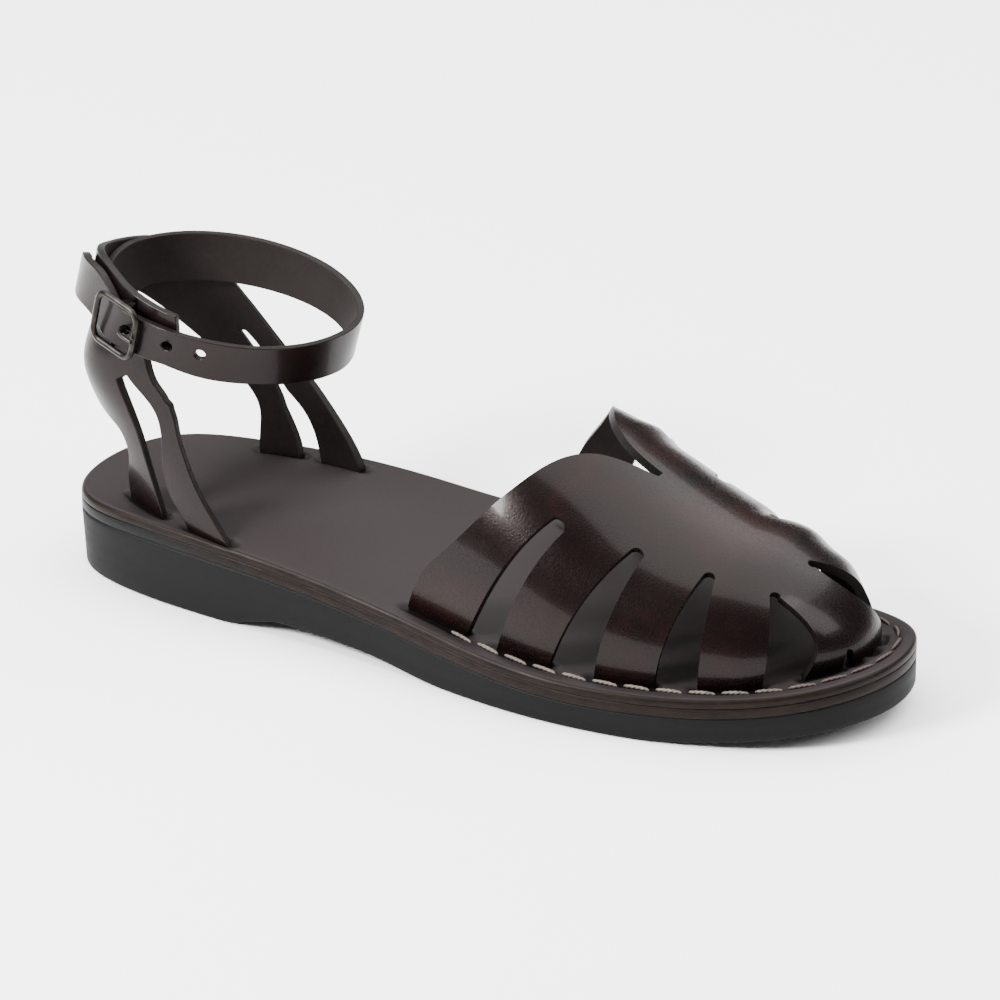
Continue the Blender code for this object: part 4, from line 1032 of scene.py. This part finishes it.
def antique_metal(name, colour):
    """Dark antique metal: brighter and duller in random patches of tarnish."""
    s = Shader(name)
    place = s.place()
    tarnish = s.noise(place, 380.0, 4.0, 0.6)
    tone = s.mix(s.between(tarnish, 0.35, 0.7), rgba(colour, 0.55), rgba(colour, 1.5))
    s.set(Base_Color=tone, Metallic=1.0, Roughness=s.between(tarnish, 0.3, 0.7, 0.24, 0.42),
          Normal=s.relief(s.noise(place, 1500.0, 2.0, 0.5), 0.12, 0.0001))
    return s.material


def layer_shell(name, profile, stations, columns, finishes, relief=None, top_rows=0):
    """Layer of the sole. The rim is a profile carried round the outline: each row has an inset
    along the outline's normal and a height over the length. Underside and top are ruled straight
    across between the two sides. The last top_rows rows of the rim take the top's finish."""
    points, outward = sole_outline()
    rows = []
    for inset, height in profile:
        depth = inset(points[:, 0]) if callable(inset) else np.full(len(points), inset)
        x, left, right = ladder(points - outward * depth[:, None], stations)
        ring = np.vstack([np.column_stack([x, left]), np.column_stack([x, right])[-2:0:-1]])
        rows.append(np.column_stack([ring, height(ring[:, 0])]))
    count = len(rows[0])
    rim = np.stack(rows)
    vertices = [rim.reshape(-1, 3)]
    faces = [grid_faces(len(rows), count, wrap_columns=True)]
    around = np.cumsum(np.linalg.norm(np.diff(rim[-1], axis=0, prepend=rim[-1][:1]), axis=1))
    up = rim[..., 2] - footbed_height(rim[..., 0])
    uv = [np.stack([np.broadcast_to(around, up.shape), up], axis=-1).reshape(-1, 2)]
    looks = [np.repeat(np.arange(len(rows) - 1), count) >= len(rows) - 1 - top_rows]
    total = rim.shape[0] * count
    for level, turned in ((0, True), (len(rows) - 1, False)):
        ring = rim[level]
        i = np.arange(stations + 1)
        outer = level * count + i
        inner = level * count + (count - i) % count
        left, right = ring[i], ring[(count - i) % count]
        share = np.arange(1, columns)[None, :, None] / columns
        fill = left[1:-1, None] + (right - left)[1:-1, None] * share
        fill[..., 2] = profile[level][1](fill[..., 0])
        number = np.zeros((stations + 1, columns + 1), int)
        number[:, 0], number[:, -1] = outer, inner
        number[0], number[-1] = outer[0], outer[-1]
        number[1:-1, 1:-1] = total + np.arange(fill[..., 0].size).reshape(fill.shape[:2])
        total += fill[..., 0].size
        vertices.append(fill.reshape(-1, 3))
        uv.append(fill.reshape(-1, 3)[:, :2])
        quads = np.stack([number[1:-2, :-1], number[2:-1, :-1], number[2:-1, 1:], number[1:-2, 1:]], axis=-1)
        heel = np.stack([number[0, :-1], number[1, :-1], number[1, 1:]], axis=-1)
        toe = np.stack([number[-2, :-1], number[-1, :-1], number[-2, 1:]], axis=-1)
        for made in (quads.reshape(-1, 4), heel, toe):
            faces.append(made[:, ::-1] if turned else made)
            looks.append(np.full(len(made), not turned))
    vertices = np.vstack(vertices)
    extra = None
    if relief is not None:
        on_top = vertices[:, 2] > footbed_height(vertices[:, 0]) - 0.0004
        drop, extra = relief(vertices[:, :2])
        vertices[:, 2] -= np.where(on_top, drop, 0)
    piece = mesh_object(name, vertices, faces, looks, np.vstack(uv), finishes)
    # the relief's second value is painted shade, kept per point for the footbed's finish
    if extra is not None:
        numbered(piece, "groove", extra)
    return piece


def seam_path(inset):
    """Line of the seam: the outline's normal offset, from the outer waist round the toe."""
    points, outward = sole_outline(1440)
    line = points - outward * inset
    outer, inner = [edge[share_along(edge[:, 0]) > start]
                    for edge, start in zip(two_sides(line), SEAM_ENDS)]
    return evenly(np.vstack([outer, inner[::-1]]), 0.0005)


def foot_lines():
    """Lines on the footbed where strips and legs go down into it."""
    lines = []
    for side, rear in ((-1, THROAT_OUTER[0, 0]), (1, THROAT_INNER[-1, 0])):
        feet = sorted([(s[1], s[5]) for s in SLOTS if s[0] == side])
        starts = [rear] + [f[1] for f in feet]
        ends = [f[0] for f in feet] + [LAST_FOOT]
        for a, b in zip(starts, ends):
            along = np.linspace(a, b, 24)
            place = last_surface(station_of(along), np.full(24, side * 1.0))
            lines.append(place[:, :2])
    tip = last_surface(np.full(40, TOE_TIP_STATION), np.linspace(-1, 1, 40))
    lines.append(tip[:, :2])
    for a, b, out in LEG_FEET:
        lines.append(ankle_form(np.linspace(a, b, 24), np.zeros(24), out)[:, :2])
    return lines


class SANDAL_OT_sole(Operator):
    """Build the outsole, the midsole and the footbed with its seam groove and slots"""

    bl_idname = "sandal.sole"
    bl_label = "Sole"

    def execute(self, context):
        sole = context.scene.sandal_sole
        insole_base = sole.insole_thickness
        midsole_top = insole_base + FIT_GAP / 4
        midsole_base = insole_base + sole.midsole_thickness + FIT_GAP
        outsole_top = midsole_base + FIT_GAP / 4
        rim = burnished_rim("rim leather", sole.rim_colour)
        board = burnished_rim("board rim", sole.rim_colour, [c * 1.1 for c in sole.rubber_colour])
        rubber = sole_rubber("sole rubber", sole.rubber_colour)
        footbed = footbed_leather("footbed leather", sole.footbed_colour)
        rounding = sole.rim_round

        def under(depth):
            """Height of a level that lies this far below the footbed."""
            return lambda x: footbed_height(x) - depth

        def draft(share, extra=0.0):
            """Inset of the wall: a share of the heel's draft, which fades out in front of it."""
            return lambda x: HEEL_DRAFT * share * (1 - ramp(share_along(x), 0.02, 0.16)) + extra

        def wall(share):
            """Height at a share of the way from the tread up to the outsole's top."""
            return lambda x: tread_height(x) + (footbed_height(x) - outsole_top - tread_height(x)) * share

        outsole = layer_shell("outsole_rubber", [
            # inset, height
            (draft(1.0, 0.0007), tread_height),
            (draft(1.0, 0.0002), lambda x: tread_height(x) + 0.0002),
            (draft(1.0), lambda x: tread_height(x) + 0.0007),
            (draft(0.7), wall(0.3)),
            (draft(0.4), wall(0.6)),
            (0.0, wall(0.93)),
            (0.0002, under(outsole_top)),
        ], SOLE_STATIONS, TREAD_COLUMNS, [rubber, rubber])
        dress(outsole, "outsole_rubber", "outsole")
        midsole = layer_shell("midsole_leather", [
            # inset, height
            (0.00015, under(midsole_base)),
            (0.0, under(midsole_base - 0.0003)),
            (0.0, under(midsole_top + 0.0003)),
            (0.00015, under(midsole_top)),
        ], SOLE_STATIONS, BOARD_COLUMNS, [board, board])
        dress(midsole, "midsole_leather", "midsole")
        seam = seam_path(sole.stitch_inset)
        feet = foot_lines()

        def pressed(flat):
            """Drop of the footbed and its painted shade: bells across seam and feet, less a low swell."""
            seam_near = distance(flat, seam, closed=False)
            slot_near = np.full(len(flat), 1.0)
            for line in feet:
                slot_near = np.minimum(slot_near, distance(flat, line, closed=False))
            groove = np.exp(-(seam_near / GROOVE_WIDTH) ** 2)
            slot = np.exp(-(np.maximum(slot_near - PRESS_HALF_WIDTH, 0) / PRESS_FADE) ** 2)
            swell = np.exp(-((slot_near - SWELL_DISTANCE) / SWELL_WIDTH) ** 2)
            drop = GROOVE_DEPTH * groove + PRESS_DEPTH * slot - SWELL_HEIGHT * swell
            # the second value is painted shade, darkest where strips and legs go into the footbed
            return drop, np.clip(0.35 * groove + slot, 0, 1)

        insole = layer_shell("insole_leather", [
            # inset, height
            (0.00015, under(insole_base)),
            (0.0, under(insole_base - 0.0003)),
            (0.0, under(rounding)),
            (rounding * 0.13, under(rounding * 0.5)),
            (rounding * 0.5, under(rounding * 0.13)),
            (rounding, under(0.0)),
        ], FOOTBED_STATIONS, FOOTBED_COLUMNS, [rim, footbed], pressed, 1)
        dress(insole, "insole_leather", "insole")
        return {"FINISHED"}


class SANDAL_OT_seam(Operator):
    """Sew the thread's stitches along the seam on the footbed"""

    bl_idname = "sandal.seam"
    bl_label = "Seam"

    def execute(self, context):
        sole = context.scene.sandal_sole
        path = seam_path(sole.stitch_inset)
        run = np.concatenate([[0.0], np.cumsum(np.linalg.norm(np.diff(path, axis=0), axis=1))])
        count = int(run[-1] // sole.stitch_pitch)
        t = np.linspace(0, 1, STITCH_ROWS)[None, :, None]
        angle = np.linspace(0, 2 * math.pi, STITCH_SIDES, endpoint=False)[None, None]
        start = (np.arange(count) * sole.stitch_pitch)[:, None, None]
        at = start + t * sole.stitch_length
        centre = np.stack([np.interp(at, run, path[:, i]) for i in range(2)], axis=-1)
        ahead = np.stack([np.interp(at + 0.0005, run, path[:, i]) for i in range(2)], axis=-1) - centre
        ahead /= np.linalg.norm(ahead, axis=-1)[..., None] + 1e-12
        side = np.stack([ahead[..., 1], -ahead[..., 0]], axis=-1)
        swell = np.clip(np.sin(np.pi * t), 0, 1) ** STITCH_BLUNTNESS
        plies = PLY_HOLLOW + PLY_CROWN * np.abs(np.cos(angle - 2 * math.pi * PLY_TWISTS * t))
        radius = sole.thread_width / 2 * swell * plies + STITCH_LEAST_RADIUS
        top = footbed_height(centre[..., 0]) - STITCH_SINK + sole.thread_width * 0.42 * swell
        reach = (t - 0.5) * STITCH_SLANT + radius * np.cos(angle)
        points = np.stack([
            centre[..., 0] + side[..., 0] * reach,
            centre[..., 1] + side[..., 1] * reach,
            top + radius * np.sin(angle),
        ], axis=-1)
        step = (np.arange(count) * STITCH_ROWS * STITCH_SIDES)[:, None, None]
        sets = [(faces + step).reshape(-1, faces.shape[1])
                for faces in tube_faces(STITCH_ROWS, STITCH_SIDES, False)]
        piece = mesh_object("seam_thread", points.reshape(-1, 3), sets,
                            finishes=[waxed_thread("waxed thread", sole.thread_colour)])
        turn_outwards(piece)
        dress(piece, "insole_leather")
        return {"FINISHED"}


def turn_outwards(piece):
    """Turns every face the other way where the closed surface has a negative volume."""
    mesh = piece.data
    mesh.calc_loop_triangles()
    corners = np.empty(len(mesh.loop_triangles) * 3, np.int32)
    mesh.loop_triangles.foreach_get("vertices", corners)
    places = np.empty(len(mesh.vertices) * 3)
    mesh.vertices.foreach_get("co", places)
    a, b, c = places.reshape(-1, 3)[corners.reshape(-1, 3)].transpose(1, 0, 2)
    if (a * np.cross(b, c)).sum() < 0:
        mesh.flip_normals()


class SANDAL_OT_vamp(Operator):
    """Cut the vamp with its slots and lay it on the last of the forefoot"""

    bl_idname = "sandal.vamp"
    bl_label = "Vamp"

    def execute(self, context):
        upper = context.scene.sandal_upper
        finishes = [
            polished_leather("vamp grain", upper),
            flesh_side("vamp flesh side", upper.flesh_colour),
            cut_edge("vamp cut edge", upper.edge_colour),
        ]

        def laid(depth):
            """Place on the last, moved along its normal by the relief less the depth."""
            def place(flat):
                station, girth = flat[:, 0] / PATTERN_LENGTH, flat[:, 1] / PATTERN_GIRTH
                out = (moulded(station, girth) - depth)[:, None]
                return last_surface(station, girth) + last_normal(station, girth) * out
            return place

        pattern = cut_pattern(vamp_outline(upper.cut_step * 0.7), [], upper.cut_step)
        piece = leather_piece("vamp_leather", pattern, laid(0.0), laid(upper.vamp_thickness), finishes)
        soften(piece, upper.edge_round)
        dress(piece, "vamp_leather", "vamp")
        return {"FINISHED"}


class SANDAL_OT_quarters(Operator):
    """Cut both quarters with their straps and wrap them round heel and ankle"""

    bl_idname = "sandal.quarters"
    bl_label = "Quarters and straps"

    def execute(self, context):
        upper = context.scene.sandal_upper
        bar = context.scene.sandal_buckle.bar
        thickness = upper.strap_thickness
        step = upper.cut_step
        finishes = [
            polished_leather("strap grain", upper, 0.30, 0.25),
            flesh_side("strap flesh side", upper.flesh_colour),
            cut_edge("strap cut edge", [c * 1.5 for c in upper.edge_colour]),
        ]

        def wrapped(stand_off, extra):
            """Place on the form at a stand-off, and straight down where the rise is below it."""
            def place(flat):
                turn, rise = flat[:, 0] / DEGREE_LENGTH, flat[:, 1] / SPAN
                out = stand_off(turn, rise) + extra
                spot = ankle_form(turn, np.maximum(rise, 0), out)
                spot[:, 2] += np.minimum(rise, 0) * SPAN
                return spot
            return place

        def long_strap(turn, rise):
            return long_strap_stand_off(turn, rise, thickness, bar)

        def short_strap(turn, rise):
            return layer(1, thickness) + 0 * turn

        angle = np.linspace(0, 2 * math.pi, 20, endpoint=False)
        round_hole = HOLE_DIAMETER / 2 * np.column_stack([np.cos(angle), np.sin(angle)])
        holes = [centre + round_hole for centre in STRAP_HOLES * [DEGREE_LENGTH, SPAN]]
        outer = cut_pattern(outer_quarter_outline(step * 0.7), holes, step)
        piece = leather_piece("outer_quarter_leather", outer, wrapped(long_strap, thickness),
                              wrapped(long_strap, 0.0), finishes)
        soften(piece, upper.edge_round)
        dress(piece, "strap_leather", "outer_quarter_strap")
        inner = cut_pattern(inner_quarter_outline(step * 0.7), [], step)
        piece = leather_piece("inner_quarter_leather", inner, wrapped(short_strap, thickness),
                              wrapped(short_strap, 0.0), finishes)
        soften(piece, upper.edge_round)
        dress(piece, "inner_quarter_leather", "inner_quarter_strap")
        return {"FINISHED"}


def buckle_axes(thickness):
    """Middle of the buckle with its directions along, across and out."""
    turn, rise = np.array([BUCKLE_TURN]), np.array([BUCKLE_RISE])
    middle = ankle_form(turn, rise, layer(2, thickness) + thickness + FRAME_LIFT)[0]
    ahead = degree_step(thickness)
    along = ahead + np.array([0.0, 0.0, BUCKLE_SLOPE * SPAN])
    along /= np.linalg.norm(along)
    out = np.cross(ahead, np.array([0.0, 0.0, 1.0]))
    out /= np.linalg.norm(out)
    return middle, along, np.cross(out, along), out


def tube(path, radius, closed, out, around=16, flatness=1.0):
    """Bar whose section, an ellipse of the given radius, is carried along a path."""
    path = np.asarray(path, float)
    count = len(path)
    ahead = np.roll(path, -1, axis=0) - np.roll(path, 1, axis=0)
    if not closed:
        ahead[0], ahead[-1] = path[1] - path[0], path[-1] - path[-2]
    ahead /= np.linalg.norm(ahead, axis=1)[:, None]
    side = np.cross(ahead, out)
    side /= np.linalg.norm(side, axis=1)[:, None]
    lift = np.cross(side, ahead)
    angle = np.linspace(0, 2 * math.pi, around, endpoint=False)[None, :, None]
    radius = np.broadcast_to(radius, count)[:, None, None]
    ring = np.cos(angle) * side[:, None] + np.sin(angle) * lift[:, None] * flatness
    points = (path[:, None] + radius * ring).reshape(-1, 3)
    return points, tube_faces(count, around, closed)


class SANDAL_OT_buckle(Operator):
    """Form the buckle's frame, its centre bar and the prong"""

    bl_idname = "sandal.buckle"
    bl_label = "Buckle"

    def execute(self, context):
        buckle = context.scene.sandal_buckle
        thickness = context.scene.sandal_upper.strap_thickness
        metal = antique_metal("antique metal", buckle.metal_colour)
        middle, along, across, out = buckle_axes(thickness)
        radius = buckle.bar / 2
        half_long = BUCKLE_LENGTH / 2 - radius
        half_wide = STRAP_TIP_WIDTH / 2 + SIDE_CLEARANCE + radius
        corner = np.array([[1, 1], [-1, 1], [-1, -1], [1, -1]])
        centre = corner * [half_long - BUCKLE_CORNER, half_wide - BUCKLE_CORNER]
        angle = np.linspace(0, math.pi / 2, 10)[None] + np.arange(4)[:, None] * math.pi / 2
        ring = centre[:, None] + BUCKLE_CORNER * np.stack([np.cos(angle), np.sin(angle)], axis=-1)
        ring = evenly(np.vstack([ring.reshape(-1, 2), ring.reshape(-1, 2)[:1]]), 0.0006)[:-1]
        path = middle + ring[:, :1] * along + ring[:, 1:] * across
        share = np.linspace(BAR_SHARE, -BAR_SHARE, 21)
        rise = BUCKLE_RISE + share * half_wide * across[2] / SPAN
        low = ankle_form(bar_turn(rise, thickness), rise, layer(2, thickness) + radius * 0.1)
        bar_path = np.vstack([middle + across * half_wide, low, middle - across * half_wide])
        spine = smooth_curve(PRONG_PATH)(np.linspace(0, 1, 40))
        prong_path = middle + spine[:, :1] * along * BUCKLE_LENGTH / 2 + spine[:, 1:] * out * buckle.bar
        taper = buckle.prong / 2 * np.linspace(1.0, 0.62, 40)
        pieces = (
            ("buckle_frame_metal", "buckle_frame", tube(path, radius, True, out, 18, 0.9)),
            ("buckle_bar_metal", "buckle_frame", tube(bar_path, radius * 0.9, False, out)),
            ("buckle_prong_metal", "buckle_prong", tube(prong_path, taper, False, across, 14)),
        )
        for name, node, (points, sets) in pieces:
            piece = mesh_object(name, points, sets, finishes=[metal])
            turn_outwards(piece)
            dress(piece, "buckle_metal", node)
        return {"FINISHED"}


def towards(azimuth, elevation):
    """Direction from the aim point out to a light or the camera."""
    level = math.cos(elevation)
    return Vector((math.sin(azimuth) * level, -math.cos(azimuth) * level, math.sin(elevation)))


class SANDAL_OT_stage(Operator):
    """Lay the floor, hang the studio lights and set the camera"""

    bl_idname = "sandal.stage"
    bl_label = "Stage"

    def execute(self, context):
        stage = context.scene.sandal_stage
        s = Shader("pale floor")
        s.set(Base_Color=rgba(stage.floor_colour), Roughness=0.9, Specular_IOR_Level=0.1)
        corner = np.array([[-1.0, -1, 0], [1, -1, 0], [1, 1, 0], [-1, 1, 0]]) * FLOOR_REACH
        floor = mesh_object("floor", corner - [0, 0, FLOOR_DROP], [np.array([[0, 1, 2, 3]])],
                            finishes=[s.material])
        world = bpy.data.worlds.new("studio")
        world.use_nodes = True
        sky = world.node_tree.nodes["Background"].inputs
        sky["Color"].default_value = (1.0, 1.0, 1.0, 1.0)
        sky["Strength"].default_value = WORLD_STRENGTH * stage.light_power
        context.scene.world = world
        for name, azimuth, elevation, reach, width, height, power in LIGHTS:
            lamp = bpy.data.lights.new(name, "AREA")
            lamp.shape = "RECTANGLE"
            lamp.size, lamp.size_y = width, height
            lamp.energy = power * stage.light_power
            spot = bpy.data.objects.new(name, lamp)
            back = towards(math.radians(azimuth), math.radians(elevation))
            spot.location = AIM + back * reach
            spot.rotation_euler = back.to_track_quat("Z", "Y").to_euler()
            context.scene.collection.objects.link(spot)
        camera = bpy.data.cameras.new("camera")
        camera.lens = stage.lens
        camera.sensor_width = 36.0
        camera.clip_end = 20.0
        view = bpy.data.objects.new("camera", camera)
        view.location = AIM + towards(stage.azimuth, stage.elevation) * stage.distance
        view.rotation_euler = (math.pi / 2 - stage.elevation, 0.0, stage.azimuth)
        context.scene.collection.objects.link(view)
        context.scene.camera = view
        return {"FINISHED"}


class SANDAL_PT_sidebar(Panel):
    """Sizes, colours and steps of the sandal"""

    bl_idname = "SANDAL_PT_sidebar"
    bl_label = "Strap sandal"
    bl_space_type = "VIEW_3D"
    bl_region_type = "UI"
    bl_category = "Sandal"

    def draw(self, context):
        for title, group in GROUPS.items():
            box = self.layout.box()
            box.label(text=title.replace("sandal_", "").capitalize())
            settings = getattr(context.scene, title)
            for name in group.__annotations__:
                box.prop(settings, name)
        for step in STEPS:
            self.layout.operator(step.bl_idname)


GROUPS = {
    "sandal_sole": SandalSole,
    "sandal_upper": SandalUpper,
    "sandal_buckle": SandalBuckle,
    "sandal_stage": SandalStage,
}
STEPS = (SANDAL_OT_sole, SANDAL_OT_seam, SANDAL_OT_vamp, SANDAL_OT_quarters, SANDAL_OT_buckle,
         SANDAL_OT_stage)


def register():
    """Registers settings, steps and panel."""
    for group in GROUPS.values():
        bpy.utils.register_class(group)
    for step in STEPS:
        bpy.utils.register_class(step)
    bpy.utils.register_class(SANDAL_PT_sidebar)
    for name, group in GROUPS.items():
        setattr(bpy.types.Scene, name, PointerProperty(type=group))


def unregister():
    """Takes everything back that register added."""
    for name in GROUPS:
        delattr(bpy.types.Scene, name)
    bpy.utils.unregister_class(SANDAL_PT_sidebar)
    for step in reversed(STEPS):
        bpy.utils.unregister_class(step)
    for group in reversed(list(GROUPS.values())):
        bpy.utils.unregister_class(group)


def main():
    """Builds the whole sandal and its stage."""
    register()
    bpy.ops.sandal.sole()
    bpy.ops.sandal.seam()
    bpy.ops.sandal.vamp()
    bpy.ops.sandal.quarters()
    bpy.ops.sandal.buckle()
    bpy.ops.sandal.stage()


if __name__ == "__main__":
    main()
